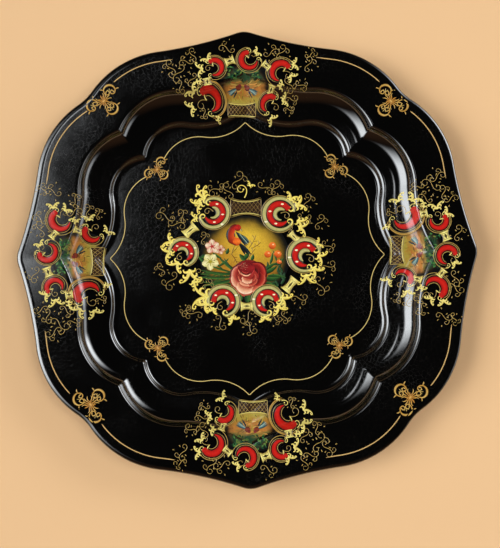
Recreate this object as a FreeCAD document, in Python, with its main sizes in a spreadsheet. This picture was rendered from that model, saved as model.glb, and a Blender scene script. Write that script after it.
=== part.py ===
import FreeCAD, Part
import Sketcher
import math
import os

# Painted metal tray, lying flat: +Z up, the origin at the middle of the underside of the floor.
# The outline has four pointed tips on the axes and four notches on the diagonals, with a lobe on
# each side of every tip.  Every level curve of the pressing is the same figure in other sizes: in
# one eighth of it a tip arc, a hollow arc, a lobe arc and a notch arc meet tangentially.

SIZES = [
    # name, value in millimetres or degrees, what it is
    ("tip_reach", 170.0, "outer edge: centre to the end of a tip, half the overall size"),
    ("lobe_drop", 14.1, "outer edge: how much less a lobe reaches than its tip, along the axis"),
    ("lobe_spread", 20.0, "outer edge: centre of a lobe to the diagonal"),
    ("lobe_radius", 70.8, "outer edge: radius of a lobe"),
    ("hollow_radius", 320.0, "outer edge: radius of the hollow between lobe and tip"),
    ("tip_radius", 17.0, "outer edge: radius of a tip"),
    ("notch_radius", 40.0, "outer edge: radius of a notch"),
    ("rim_at_tip", 30.0, "outer edge to shoulder, at a tip"),
    ("rim_at_lobe", 28.8, "outer edge to shoulder, at a lobe"),
    ("shoulder_spread", 19.4, "shoulder: centre of a lobe to the diagonal"),
    ("shoulder_lobe", 48.5, "shoulder: radius of a lobe"),
    ("shoulder_hollow", 99.0, "shoulder: radius of a hollow"),
    ("shoulder_tip", 2.5, "shoulder: radius of a tip"),
    ("shoulder_notch", 2.0, "shoulder: radius of a notch"),
    ("wall_at_tip", 31.2, "shoulder to floor edge, at a tip"),
    ("wall_at_lobe", 28.8, "shoulder to floor edge, at a lobe"),
    ("floor_spread", 17.4, "floor edge: centre of a lobe to the diagonal"),
    ("floor_lobe", 24.2, "floor edge: radius of a lobe"),
    ("floor_hollow", 46.0, "floor edge: radius of a hollow"),
    ("floor_tip", 2.5, "floor edge: radius of a tip"),
    ("floor_notch", 2.0, "floor edge: radius of a notch"),
    ("sheet", 0.8, "thickness of the pressed steel"),
    ("foot_bend", 5.0, "lower step: radius where it leaves the floor"),
    ("lip_bend", 4.0, "lower step: radius where it turns onto the ledge"),
    ("step_angle", 60.0, "lower step: steepest slope"),
    ("ledge_length", 5.0, "ledge between the steps: length along its slope"),
    ("ledge_angle", 8.0, "ledge between the steps: slope"),
    ("cove_bend", 18.0, "upper step: radius of the hollow cove"),
    ("cove_angle", 62.0, "upper step: steepest slope"),
    ("shoulder_bend", 3.0, "radius where the cove turns onto the rim"),
    ("rim_angle", 2.2, "slope of the rim, rising outwards"),
    ("margin", 10.5, "width of the border that keeps parallel to the outer edge"),
    ("roll_bend", 8.0, "border: radius where the rim turns down"),
    ("roll_angle", 25.0, "border: slope where the bead begins"),
    ("bead_end_angle", 250.0, "bead: how far the sheet has turned down and under where it stops"),
    ("wire", 2.0, "diameter of the wire inside the bead"),
    ("wire_gap", 0.1, "clearance between the wire and the sheet rolled round it"),
    ("coat", 0.3, "thickness of the filler, ground and black lacquer on the face"),
    ("coat_end_angle", 120.0, "bead: how far down and under the face lacquer runs"),
    ("paint", 0.15, "thickness of the painted pictures and gold lines"),
    ("picture_width", 118.0, "centre picture: width of its painted ground"),
    ("picture_height", 104.0, "centre picture: height of its painted ground"),
    ("picture_rise", 1.0, "centre picture: how far its middle lies above the tray's middle"),
    ("rim_picture_inset", 16.0, "rim pictures: outer edge of the tray to their outer border"),
    ("line_width", 1.4, "width of the gold lines"),
    ("outer_line_inset", 8.7, "outer edge of the tray to the middle of the outer gold line"),
    ("inner_line_at_tip", 5.4, "floor edge to the middle of the inner gold line, at a tip"),
    ("inner_line_at_lobe", 5.2, "floor edge to the middle of the inner gold line, at a lobe"),
    ("inner_line_spread", 19.6, "inner gold line: centre of a lobe to the diagonal"),
    ("inner_line_lobe", 29.6, "inner gold line: radius of a lobe"),
    ("inner_line_hollow", 34.7, "inner gold line: radius of a hollow"),
    ("inner_line_tip", 1.0, "inner gold line: radius of a tip"),
    ("inner_line_notch", 1.0, "inner gold line: radius of a notch"),
]

# Points along the tip, hollow, lobe and notch arcs of one eighth.
ARC_STEPS = (4, 6, 12, 5)
TIP_MIDDLE = sum(ARC_STEPS)
# The rim pictures end this many points away from the middle of their tip.
PICTURE_STEPS = ARC_STEPS[0] + 4
# The outer gold line runs between these points of each lobe.
LINE_FIRST = TIP_MIDDLE + ARC_STEPS[0] + ARC_STEPS[1]
LINE_LAST = TIP_MIDDLE + sum(ARC_STEPS[:3]) - 2
SEW_TOLERANCE = 0.005
RING_KEYS = ("tip", "lobe", "spread", "radius", "hollow", "tip_radius", "notch")
COMPASS = ("east", "north", "west", "south")


def make_sheet(doc):
    """Spreadsheet with one named row for each driving size."""
    sheet = doc.addObject("Spreadsheet::Sheet", "Sizes")
    for row, (name, value, meaning) in enumerate(SIZES, start=1):
        sheet.set("A%d" % row, name)
        sheet.set("B%d" % row, str(value))
        sheet.set("C%d" % row, meaning)
        sheet.setAlias("B%d" % row, name)
    doc.recompute()
    return sheet


# ---- level curves ----------------------------------------------------------------------------

def ring(*sizes):
    """One level curve, as a dictionary of the seven sizes that draw it."""
    return dict(zip(RING_KEYS, sizes))


def rings(size):
    """The named level curves: outer edge, shoulder, floor edge and middle of the inner gold line."""
    outer = ring(size("tip_reach"), size("tip_reach") - size("lobe_drop"), size("lobe_spread"),
                 size("lobe_radius"), size("hollow_radius"), size("tip_radius"),
                 size("notch_radius"))
    shoulder = ring(outer["tip"] - size("rim_at_tip"), outer["lobe"] - size("rim_at_lobe"),
                    size("shoulder_spread"), size("shoulder_lobe"), size("shoulder_hollow"),
                    size("shoulder_tip"), size("shoulder_notch"))
    floor = ring(shoulder["tip"] - size("wall_at_tip"), shoulder["lobe"] - size("wall_at_lobe"),
                 size("floor_spread"), size("floor_lobe"), size("floor_hollow"),
                 size("floor_tip"), size("floor_notch"))
    line = ring(floor["tip"] - size("inner_line_at_tip"), floor["lobe"] - size("inner_line_at_lobe"),
                size("inner_line_spread"), size("inner_line_lobe"), size("inner_line_hollow"),
                size("inner_line_tip"), size("inner_line_notch"))
    return outer, shoulder, floor, line


def grown(curve, distance):
    """The parallel curve that lies a distance outside a level curve."""
    return ring(curve["tip"] + distance, curve["lobe"] + distance, curve["spread"],
                curve["radius"] + distance, curve["hollow"] - distance,
                curve["tip_radius"] + distance, curve["notch"] - distance)


def blended(inner, outer, share):
    """The level curve a share of the way from one to another."""
    return {key: inner[key] + share * (outer[key] - inner[key]) for key in RING_KEYS}


def hollow_centre(tip_centre, tip_distance, lobe_centre, lobe_distance):
    """Outer one of the two points at the given distances from the tip and lobe centres."""
    along = lobe_centre - tip_centre
    gap = along.Length
    reach = (tip_distance ** 2 - lobe_distance ** 2 + gap ** 2) / (2 * gap)
    side = math.sqrt(tip_distance ** 2 - reach ** 2)
    along.normalize()
    return tip_centre + along * reach + FreeCAD.Vector(along.y, -along.x, 0) * side


def eighth_arcs(curve):
    """Arcs of the eighth from the tip on +X to the diagonal: centre, radius, first and last angle."""
    tip_centre = FreeCAD.Vector(curve["tip"] - curve["tip_radius"], 0, 0)
    lobe_x = curve["lobe"] - curve["radius"]
    lobe_y = lobe_x - curve["spread"] * math.sqrt(2)
    lobe_centre = FreeCAD.Vector(lobe_x, lobe_y, 0)
    hollow = hollow_centre(tip_centre, curve["tip_radius"] + curve["hollow"],
                           lobe_centre, curve["radius"] + curve["hollow"])
    along_diagonal = math.sqrt((curve["radius"] + curve["notch"]) ** 2 - curve["spread"] ** 2)
    notch_xy = (lobe_x + lobe_y + along_diagonal * math.sqrt(2)) / 2
    notch = FreeCAD.Vector(notch_xy, notch_xy, 0)
    centres = (tip_centre, hollow, lobe_centre, notch)
    radii = (curve["tip_radius"], curve["hollow"], curve["radius"], curve["notch"])
    to_hollow = direction(tip_centre, hollow)
    to_notch = direction(lobe_centre, notch)
    angles = ((0.0, to_hollow),
              (to_hollow + math.pi, direction(lobe_centre, hollow) + math.pi),
              (direction(lobe_centre, hollow), to_notch),
              (to_notch + math.pi, 1.25 * math.pi))
    return [(centre, radius, first, last)
            for centre, radius, (first, last) in zip(centres, radii, angles)]


def direction(start, end):
    """Angle of the line between two points, from +X."""
    return math.atan2(end.y - start.y, end.x - start.x)


def on_arc(arc, share):
    """Point a share of the way along an arc."""
    centre, radius, first, last = arc
    angle = first + share * (last - first)
    return centre + FreeCAD.Vector(math.cos(angle), math.sin(angle), 0) * radius


def quarter_points(curve, height):
    """Points of a level curve round one tip, from the diagonal below +X to the diagonal above."""
    points = []
    for arc, steps in zip(eighth_arcs(curve), ARC_STEPS):
        points += [on_arc(arc, step / steps) for step in range(steps)]
    points.append(on_arc(arc, 1.0))
    mirrored = [FreeCAD.Vector(point.x, -point.y, 0) for point in reversed(points[1:])]
    return [point + FreeCAD.Vector(0, 0, height) for point in mirrored + points]


def closed_wire(curve, height):
    """A whole level curve as a wire of tangent arcs, starting at the tip on +X."""
    eighth = [Part.Arc(on_arc(arc, 0.0), on_arc(arc, 0.5), on_arc(arc, 1.0)).toShape()
              for arc in eighth_arcs(curve)]
    centre = FreeCAD.Vector(0, 0, 0)
    flipped = [edge.mirror(centre, FreeCAD.Vector(1, -1, 0)) for edge in reversed(eighth)]
    edges = []
    for turn in range(4):
        for edge in eighth + flipped:
            copy = edge.copy()
            copy.rotate(centre, FreeCAD.Vector(0, 0, 1), 90 * turn)
            edges.append(copy)
    wire = Part.Wire(edges)
    wire.translate(FreeCAD.Vector(0, 0, height))
    return wire


# ---- section of the pressing -----------------------------------------------------------------

class Section:
    """Face of the pressed sheet from the floor edge to the end of the bead, seen in section.

    A station is (run, height, slope): the run outwards from the floor edge, the height above the
    table, and the slope of the sheet there in radians, negative where it turns down.
    """

    def __init__(self, size):
        self.size = size
        self.outer, self.shoulder, self.floor, self.line = rings(size)
        self.border = grown(self.outer, -size("margin"))
        self.stations = [(0.0, size("sheet"), 0.0)]
        self.bead_radius = size("wire") / 2 + size("wire_gap") + size("sheet")
        self.draw()

    def bend(self, radius, slope, steps):
        """Arc up to a steeper slope, or with a negative radius down to a lower one."""
        run, height, start = self.stations[-1]
        for step in range(1, steps + 1):
            here = start + (slope - start) * step / steps
            across = radius * (math.sin(here) - math.sin(start))
            up = radius * (math.cos(start) - math.cos(here))
            self.stations.append((run + across, height + up, here))

    def straight(self, run_end, steps):
        """Straight stretch out to a run, with its points closer together near both ends."""
        run, height, slope = self.stations[-1]
        for step in range(1, steps + 1):
            across = (run_end - run) * (1 - math.cos(math.pi * step / steps)) / 2
            self.stations.append((run + across, height + across * math.tan(slope), slope))

    def draw(self):
        """Walk outwards over the lower step, ledge, cove, shoulder, rim, rolled border and bead."""
        size = self.size
        ledge = math.radians(size("ledge_angle"))
        rim = math.radians(size("rim_angle"))
        roll = math.radians(size("roll_angle"))
        self.bend(size("foot_bend"), math.radians(size("step_angle")), 5)
        self.bend(-size("lip_bend"), ledge, 5)
        self.ledge_station = len(self.stations) - 1
        self.straight(self.stations[-1][0] + size("ledge_length") * math.cos(ledge), 3)
        self.bend(size("cove_bend"), math.radians(size("cove_angle")), 8)
        self.bend(-size("shoulder_bend"), rim, 6)
        self.wall_run = self.stations[-1][0]
        self.rim_run = self.border["tip"] - self.shoulder["tip"]
        edge_run = self.wall_run + self.rim_run + size("margin")
        line_middle = edge_run - size("outer_line_inset")
        self.straight(edge_run - size("rim_picture_inset"), 6)
        self.picture_station = len(self.stations) - 1
        self.straight(line_middle - size("line_width") / 2, 3)
        self.line_station = len(self.stations) - 1
        self.straight(line_middle + size("line_width") / 2, 1)
        roll_run = size("roll_bend") * (math.sin(rim) + math.sin(roll))
        bead_run = self.bead_radius * (1 - math.sin(roll))
        self.straight(edge_run - size("coat") - bead_run - roll_run, 2)
        self.bend(-size("roll_bend"), -roll, 4)
        run, height, slope = self.stations[-1]
        self.bead_height = height - self.bead_radius * math.cos(slope)
        self.bend(-self.bead_radius, -math.radians(size("coat_end_angle")), 6)
        self.coat_station = len(self.stations) - 1
        self.bend(-self.bead_radius, -math.radians(size("bead_end_angle")), 8)
        self.end_station = len(self.stations) - 1

    def curve_at(self, run):
        """Level curve over a run."""
        if run <= self.wall_run:
            return blended(self.floor, self.shoulder, run / self.wall_run)
        rim_share = (run - self.wall_run) / self.rim_run
        if rim_share <= 1:
            return blended(self.shoulder, self.border, rim_share)
        return grown(self.border, run - self.wall_run - self.rim_run)

    def surface(self, lift):
        """Surface round the tip on +X, lifted square off the face of the sheet."""
        rows = []
        for run, height, slope in self.stations:
            lifted_run = run - lift * math.sin(slope)
            rows.append(quarter_points(self.curve_at(lifted_run), height + lift * math.cos(slope)))
        return surface_through(rows)


def shares_of_length(rows):
    """Parameters shared by rows of points: the mean share of the row's length at each point."""
    totals = [0.0] * len(rows[0])
    for row in rows:
        lengths = [0.0]
        for here, there in zip(row, row[1:]):
            lengths.append(lengths[-1] + here.distanceToPoint(there))
        totals = [total + length / lengths[-1] for total, length in zip(totals, lengths)]
    return [total / totals[-1] for total in totals]


def curve_through(points, parameters):
    """Cubic spline through points at given parameters."""
    curve = Part.BSplineCurve()
    curve.interpolate(Points=points, Parameters=parameters)
    return curve


def surface_through(rows):
    """Cubic surface through a grid of points: round the tray first, then out along the section."""
    columns = [list(column) for column in zip(*rows)]
    across = shares_of_length(rows)
    along = shares_of_length(columns)
    round_curves = [curve_through(row, across) for row in rows]
    pole_rows = [curve.getPoles() for curve in round_curves]
    out_curves = [curve_through(list(column), along) for column in zip(*pole_rows)]
    surface = Part.BSplineSurface()
    surface.buildFromPolesMultsKnots([curve.getPoles() for curve in out_curves],
                                     round_curves[0].getMultiplicities(),
                                     out_curves[0].getMultiplicities(),
                                     across, along, False, False, 3, 3)
    return surface


# ---- solids between two lifted surfaces -------------------------------------------------------

def patch(surface, steps, stations):
    """Face cut from a surface between two points of the tip and two stations of the section."""
    across = surface.getUKnots()
    along = surface.getVKnots()
    return surface.toShape(across[steps[0]], across[steps[1]],
                           along[stations[0]], along[stations[1]])


def edge_on(face, surface, station):
    """The edge of a patch that runs along one station."""
    level = surface.getVKnots()[station]
    first = surface.getUKnots()[0]
    last = surface.getUKnots()[-1]
    middle = surface.value((first + last) / 2, level)
    return min(face.Edges, key=lambda edge: edge.distToShape(Part.Vertex(middle))[0])


def sewn(faces):
    """One closed solid from faces that meet at their edges."""
    shell = Part.Compound(faces)
    shell.sewShape(SEW_TOLERANCE)
    solid = Part.Solid(shell.Shells[0])
    if solid.Volume < 0:
        solid.reverse()
    return solid


def quarter_turns(shapes):
    """Each shape at all four tips."""
    turned = []
    for turn in range(4):
        for shape in shapes:
            copy = shape.copy()
            copy.rotate(FreeCAD.Vector(0, 0, 0), FreeCAD.Vector(0, 0, 1), 90 * turn)
            turned.append(copy)
    return turned


def shell_solid(lower, upper, station):
    """Whole dish between two surfaces, from a flat floor out to one station."""
    whole = (0, 2 * TIP_MIDDLE)
    sides = []
    floors = []
    rims = []
    for surface in (lower, upper):
        face = patch(surface, whole, (0, station))
        sides.append(face)
        floor_edges = quarter_turns([edge_on(face, surface, 0)])
        floors.append(Part.Face(Part.Wire(Part.__sortEdges__(floor_edges))))
        rims.append(edge_on(face, surface, station))
    sides.append(Part.makeRuledSurface(rims[0], rims[1]))
    return sewn(quarter_turns(sides) + floors)


def film_solid(lower, upper, steps, stations):
    """Thin layer of paint between two surfaces, over part of one tip."""
    faces = [patch(surface, steps, stations) for surface in (lower, upper)]
    sides = [Part.makeRuledSurface(below, above)
             for below, above in zip(faces[0].Edges, faces[1].Edges)]
    return sewn(faces + sides)


# ---- sub-parts -------------------------------------------------------------------------------

def add_shape(doc, label, shape, turn=0):
    """Sub-part whose shape is worked out from the sheet's sizes, at one of the four tips."""
    part = doc.addObject("Part::Feature", label)
    part.Label = label
    part.Shape = shape
    upright = FreeCAD.Vector(0, 0, 1)
    part.Placement = FreeCAD.Placement(FreeCAD.Vector(), FreeCAD.Rotation(upright, 90 * turn))
    return part


def make_pan(doc, face, back, section):
    """Pressed steel sheet: floor, stepped wall, rim, and the edge rolled round the wire."""
    return add_shape(doc, "tray_pan", shell_solid(back, face, section.end_station))


def make_wire(doc, section, size):
    """Stiffening wire inside the bead: a circle swept round the whole edge."""
    middle = grown(section.outer, -size("coat") - section.bead_radius)
    spine = doc.addObject("Part::Feature", "bead_line")
    spine.Shape = closed_wire(middle, section.bead_height)
    circle = doc.addObject("Part::Circle", "wire_section")
    circle.setExpression("Radius", "Sizes.wire / 2")
    circle.Placement = FreeCAD.Placement(
        FreeCAD.Vector(middle["tip"], 0, section.bead_height),
        FreeCAD.Rotation(FreeCAD.Vector(1, 0, 0), 90))
    circle.setExpression("Placement.Base.x", "Sizes.tip_reach - Sizes.coat"
                         " - Sizes.wire / 2 - Sizes.wire_gap - Sizes.sheet")
    sweep = doc.addObject("Part::Sweep", "rim_wire")
    sweep.Label = "rim_wire"
    sweep.Sections = [circle]
    sweep.Spine = (spine, ["Edge%d" % (index + 1) for index in range(len(spine.Shape.Edges))])
    sweep.Solid = True
    sweep.Frenet = False
    return sweep


def make_lacquer(doc, coat, face, section):
    """Filler, ground and black lacquer on the face, down over the outside of the bead."""
    return add_shape(doc, "face_lacquer", shell_solid(face, coat, section.coat_station))


def make_centre_picture(doc, size):
    """Ground of the picture in the middle of the floor: an oval film on the lacquer."""
    body = doc.addObject("PartDesign::Body", "centre_medallion")
    body.Label = "centre_medallion"
    plane = [item for item in body.Origin.OriginFeatures if item.Role == "XY_Plane"][0]
    sketch = body.newObject("Sketcher::SketchObject", "picture_outline")
    sketch.AttachmentSupport = [(plane, "")]
    sketch.MapMode = "FlatFace"
    width = size("picture_width")
    height = size("picture_height")
    oval = Part.Ellipse(FreeCAD.Vector(width / 2, 0, 0), FreeCAD.Vector(0, height / 2, 0),
                        FreeCAD.Vector())
    sketch.addGeometry(oval)
    sketch.exposeInternalGeometry(0)
    constrain_oval(sketch, width, height)
    pad = body.newObject("PartDesign::Pad", "picture_film")
    pad.Profile = sketch
    pad.setExpression("Length", "Sizes.paint")
    body.Tip = pad
    body.setExpression("Placement.Base.y", "Sizes.picture_rise")
    body.setExpression("Placement.Base.z", "Sizes.sheet + Sizes.coat")
    return body


def constrain_oval(sketch, width, height):
    """Hold the oval's centre at the origin and tie its two axis lines to the sheet."""
    oval, long_axis, short_axis = 0, 1, 2
    centre_point, origin, origin_point = 3, -1, 1
    sketch.addConstraint(Sketcher.Constraint("Coincident", oval, centre_point,
                                             origin, origin_point))
    sketch.addConstraint(Sketcher.Constraint("Horizontal", long_axis))
    across = sketch.addConstraint(Sketcher.Constraint("Distance", long_axis, width))
    upright = sketch.addConstraint(Sketcher.Constraint("Distance", short_axis, height))
    sketch.renameConstraint(across, "width")
    sketch.renameConstraint(upright, "height")
    sketch.setExpression("Constraints.width", "Sizes.picture_width")
    sketch.setExpression("Constraints.height", "Sizes.picture_height")


def make_rim_pictures(doc, coat, painted, section):
    """Films of the four pictures that run from the ledge over the cove onto the rim."""
    steps = (TIP_MIDDLE - PICTURE_STEPS, TIP_MIDDLE + PICTURE_STEPS)
    film = film_solid(coat, painted, steps, (section.ledge_station, section.picture_station))
    return [add_shape(doc, "rim_medallion_" + side, film, turn)
            for turn, side in enumerate(COMPASS)]


def make_outer_line(doc, coat, painted, section):
    """Eight strokes of the outer gold line, between the rim pictures and the corner sprays."""
    stations = (section.line_station, section.line_station + 1)
    stroke = film_solid(coat, painted, (LINE_FIRST, LINE_LAST), stations)
    twin = stroke.mirror(FreeCAD.Vector(0, 0, 0), FreeCAD.Vector(0, 1, 0))
    return add_shape(doc, "outer_gold_line", Part.Compound(quarter_turns([stroke, twin])))


def make_inner_line(doc, section, size):
    """Gold line round the floor, one closed ribbon with its own lobes and tips."""
    half = size("line_width") / 2
    level = size("sheet") + size("coat")
    outline = doc.addObject("Part::Feature", "inner_line_outline")
    outline.Shape = Part.makeFace([closed_wire(grown(section.line, half), level),
                                   closed_wire(grown(section.line, -half), level)],
                                  "Part::FaceMakerBullseye")
    ribbon = doc.addObject("Part::Extrusion", "inner_gold_line")
    ribbon.Label = "inner_gold_line"
    ribbon.Base = outline
    ribbon.DirMode = "Custom"
    ribbon.Dir = FreeCAD.Vector(0, 0, 1)
    ribbon.Solid = True
    ribbon.setExpression("LengthFwd", "Sizes.paint")
    return ribbon


def check(doc, parts):
    """Stop before anything is written if an object failed or a shape isn't sound."""
    for item in doc.Objects:
        if "Invalid" in item.State or "Error" in item.State:
            raise RuntimeError("%s failed: %s" % (item.Label, item.State))
    for part in parts:
        if part.Shape.isNull() or not part.Shape.isValid():
            raise RuntimeError("%s has no sound shape" % part.Label)
        if not part.Shape.Solids:
            raise RuntimeError("%s has no solid" % part.Label)


def main():
    doc = FreeCAD.newDocument("painted_tray")
    sheet = make_sheet(doc)
    size = sheet.get
    section = Section(size)
    back = section.surface(-size("sheet"))
    face = section.surface(0.0)
    coat = section.surface(size("coat"))
    painted = section.surface(size("coat") + size("paint"))
    parts = [make_pan(doc, face, back, section)]
    parts.append(make_wire(doc, section, size))
    parts.append(make_lacquer(doc, coat, face, section))
    parts.append(make_centre_picture(doc, size))
    parts += make_rim_pictures(doc, coat, painted, section)
    parts.append(make_inner_line(doc, section, size))
    parts.append(make_outer_line(doc, coat, painted, section))
    doc.recompute()
    check(doc, parts)
    os.makedirs("parts", exist_ok=True)
    for part in parts:
        part.Shape.exportStep("parts/%s.step" % part.Label)
        box = part.Shape.BoundBox
        print("%-24s solids %d  volume %10.1f  z %6.2f to %6.2f  x %7.2f to %7.2f"
              % (part.Label, len(part.Shape.Solids), part.Shape.Volume,
                 box.ZMin, box.ZMax, box.XMin, box.XMax))


main()
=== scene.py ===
import math
import random

import bpy
import numpy as np
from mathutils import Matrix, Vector, noise
from mathutils.bvhtree import BVHTree


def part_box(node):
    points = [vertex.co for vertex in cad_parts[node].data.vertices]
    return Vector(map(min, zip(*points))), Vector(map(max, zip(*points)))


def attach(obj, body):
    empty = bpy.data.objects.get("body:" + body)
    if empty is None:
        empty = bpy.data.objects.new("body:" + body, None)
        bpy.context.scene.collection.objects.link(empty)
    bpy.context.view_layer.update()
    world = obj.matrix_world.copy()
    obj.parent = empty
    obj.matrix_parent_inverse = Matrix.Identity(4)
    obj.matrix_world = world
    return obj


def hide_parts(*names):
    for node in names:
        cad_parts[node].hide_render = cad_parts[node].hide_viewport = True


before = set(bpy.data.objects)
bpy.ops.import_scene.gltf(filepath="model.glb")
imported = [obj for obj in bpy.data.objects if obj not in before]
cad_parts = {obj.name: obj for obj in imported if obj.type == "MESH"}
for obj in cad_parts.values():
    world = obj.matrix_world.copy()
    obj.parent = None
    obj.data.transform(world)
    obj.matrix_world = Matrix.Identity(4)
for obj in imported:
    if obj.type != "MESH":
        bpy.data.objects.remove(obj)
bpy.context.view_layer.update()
chance = random.Random(11)

# Lengths are millimetres until a mesh, a camera or a lamp is made, and angles are degrees. A place
# or a step on the flat is a complex number, x + y times 1j, and a turn is one that rotates it.
MM = 0.001

# ---- sizes of the pressing -------------------------------------------------------------------

RING_KEYS = ("tip", "lobe", "spread", "radius", "hollow", "tip_radius", "notch")
TIP_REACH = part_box("face_lacquer")[1][0] / MM
OUTER_EDGE = dict(zip(RING_KEYS, (TIP_REACH, TIP_REACH - 14.1, 20.0, 70.8, 320.0, 17.0, 40.0)))
SHOULDER = dict(zip(RING_KEYS, (TIP_REACH - 30.0, TIP_REACH - 42.9, 19.4, 48.5, 99.0, 2.5, 2.0)))
FLOOR_EDGE = dict(zip(RING_KEYS, (TIP_REACH - 61.2, TIP_REACH - 71.7, 17.4, 24.2, 46.0, 2.5, 2.0)))
INNER_LINE = dict(zip(RING_KEYS, (TIP_REACH - 66.6, TIP_REACH - 76.9, 19.6, 29.6, 34.7, 1.0, 1.0)))
SHEET = 0.8
COAT = 0.3
FOOT_BEND, LIP_BEND, STEP_ANGLE = 5.0, 4.0, 60.0
LEDGE_LENGTH, LEDGE_ANGLE = 5.0, 8.0
COVE_BEND, COVE_ANGLE = 18.0, 62.0
SHOULDER_BEND, RIM_ANGLE = 3.0, 2.2
MARGIN, ROLL_BEND, ROLL_ANGLE = 10.5, 8.0, 25.0
BEAD_RADIUS, BEAD_END, COAT_END = 1.9, 250.0, 120.0
ARC_STEPS = (7, 12, 25, 9)


# ---- level curves and section ----------------------------------------------------------------

def grown(curve, distance):
    """The parallel curve a distance outside a level curve."""
    signs = {"spread": 0, "hollow": -1, "notch": -1}
    return {key: curve[key] + signs.get(key, 1) * distance for key in RING_KEYS}


def blended(inner, outer, share):
    """The level curve a share of the way from one to another."""
    return {key: inner[key] + share * (outer[key] - inner[key]) for key in RING_KEYS}


def eighth(curve):
    """Points from the tip on +X to the diagonal, as complex numbers, along four tangent arcs."""
    tip_centre = complex(curve["tip"] - curve["tip_radius"], 0)
    lobe_x = curve["lobe"] - curve["radius"]
    lobe_centre = complex(lobe_x, lobe_x - curve["spread"] * math.sqrt(2))
    to_tip = curve["tip_radius"] + curve["hollow"]
    to_lobe = curve["radius"] + curve["hollow"]
    gap = abs(lobe_centre - tip_centre)
    along = (lobe_centre - tip_centre) / gap
    reach = (to_tip ** 2 - to_lobe ** 2 + gap ** 2) / (2 * gap)
    hollow_centre = tip_centre + along * complex(reach, -math.sqrt(to_tip ** 2 - reach ** 2))
    diagonal = math.sqrt((curve["radius"] + curve["notch"]) ** 2 - curve["spread"] ** 2)
    notch_xy = (lobe_centre.real + lobe_centre.imag + diagonal * math.sqrt(2)) / 2
    notch_centre = complex(notch_xy, notch_xy)
    to_hollow = np.angle(hollow_centre - tip_centre)
    from_lobe = np.angle(hollow_centre - lobe_centre)
    to_notch = np.angle(notch_centre - lobe_centre)
    arcs = ((tip_centre, curve["tip_radius"], 0.0, to_hollow),
            (hollow_centre, curve["hollow"], to_hollow + math.pi, from_lobe + math.pi),
            (lobe_centre, curve["radius"], from_lobe, to_notch),
            (notch_centre, curve["notch"], to_notch + math.pi, 1.25 * math.pi))
    points = [centre + radius * np.exp(1j * np.linspace(first, last, steps, endpoint=False))
              for (centre, radius, first, last), steps in zip(arcs, ARC_STEPS)]
    return np.concatenate(points + [[notch_centre - curve["notch"] * np.exp(0.25j * math.pi)]])


def whole_curve(curve):
    """A whole level curve, counter-clockwise from the tip on +X."""
    part = eighth(curve)
    mirrored = (1j * np.conj(part))[::-1]
    quarter = np.concatenate([part, mirrored[1:-1]])
    return np.concatenate([quarter * 1j ** turn for turn in range(4)])


def section():
    """Stations (run, height, slope) of the sheet's face from the floor edge to the bead's end."""
    stations = [(0.0, SHEET, 0.0)]

    def bend(radius, slope, steps):
        """Arc on to a slope; a radius below zero turns the sheet down."""
        run, height, start = stations[-1]
        for here in np.linspace(start, math.radians(slope), steps + 1)[1:]:
            stations.append((run + radius * (math.sin(here) - math.sin(start)),
                             height + radius * (math.cos(start) - math.cos(here)), here))

    def straight(run_end, steps):
        """Straight part out to a run."""
        run, height, slope = stations[-1]
        for share in (1 - np.cos(np.linspace(0, math.pi, steps + 1)[1:])) / 2:
            across = (run_end - run) * share
            stations.append((run + across, height + across * math.tan(slope), slope))

    bend(FOOT_BEND, STEP_ANGLE, 12)
    bend(-LIP_BEND, LEDGE_ANGLE, 10)
    straight(stations[-1][0] + LEDGE_LENGTH * math.cos(math.radians(LEDGE_ANGLE)), 4)
    bend(COVE_BEND, COVE_ANGLE, 20)
    bend(-SHOULDER_BEND, RIM_ANGLE, 14)
    edge_run = stations[-1][0] + OUTER_EDGE["tip"] - SHOULDER["tip"]
    wall_run = stations[-1][0]
    roll_run = ROLL_BEND * (math.sin(math.radians(RIM_ANGLE)) + math.sin(math.radians(ROLL_ANGLE)))
    bead_run = BEAD_RADIUS * (1 - math.sin(math.radians(ROLL_ANGLE)))
    straight(edge_run - COAT - bead_run - roll_run, 14)
    bend(-ROLL_BEND, -ROLL_ANGLE, 8)
    bend(-BEAD_RADIUS, -COAT_END, 12)
    coat_stations = len(stations)
    bend(-BEAD_RADIUS, -BEAD_END, 12)
    return stations, coat_stations, wall_run, edge_run


STATIONS, COAT_STATIONS, WALL_RUN, EDGE_RUN = section()
BORDER = grown(OUTER_EDGE, -MARGIN)


def curve_at(run):
    """Level curve over a run outwards from the floor edge."""
    if run <= WALL_RUN:
        return blended(FLOOR_EDGE, SHOULDER, run / WALL_RUN)
    rim_share = (run - WALL_RUN) / (EDGE_RUN - MARGIN - WALL_RUN)
    if rim_share <= 1:
        return blended(SHOULDER, BORDER, rim_share)
    return grown(OUTER_EDGE, run - EDGE_RUN)


def lifted_rows(lift, count):
    """Rows of points over the first stations, lifted square off the sheet's face."""
    rows = []
    for run, height, slope in STATIONS[:count]:
        flat = whole_curve(curve_at(run - lift * math.sin(slope)))
        level = np.full(len(flat), height + lift * math.cos(slope))
        rows.append(np.column_stack([flat.real, flat.imag, level]))
    return rows


def floor_rows(row):
    """Rows that step in from the floor edge to the middle, all on one level."""
    return [row * (share, share, 1) for share in (0.02, 0.3, 0.6, 0.8, 0.92, 0.97, 0.99)]


# ---- meshes ----------------------------------------------------------------------------------

def add_mesh(name, points, faces, material):
    """Smooth-shaded object from points in millimetres."""
    mesh = bpy.data.meshes.new(name)
    mesh.from_pydata((np.asarray(points) * MM).tolist(), [], faces)
    mesh.materials.append(material)
    mesh.polygons.foreach_set("use_smooth", [True] * len(mesh.polygons))
    mesh.update()
    obj = bpy.data.objects.new(name, mesh)
    bpy.context.scene.collection.objects.link(obj)
    return obj


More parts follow.
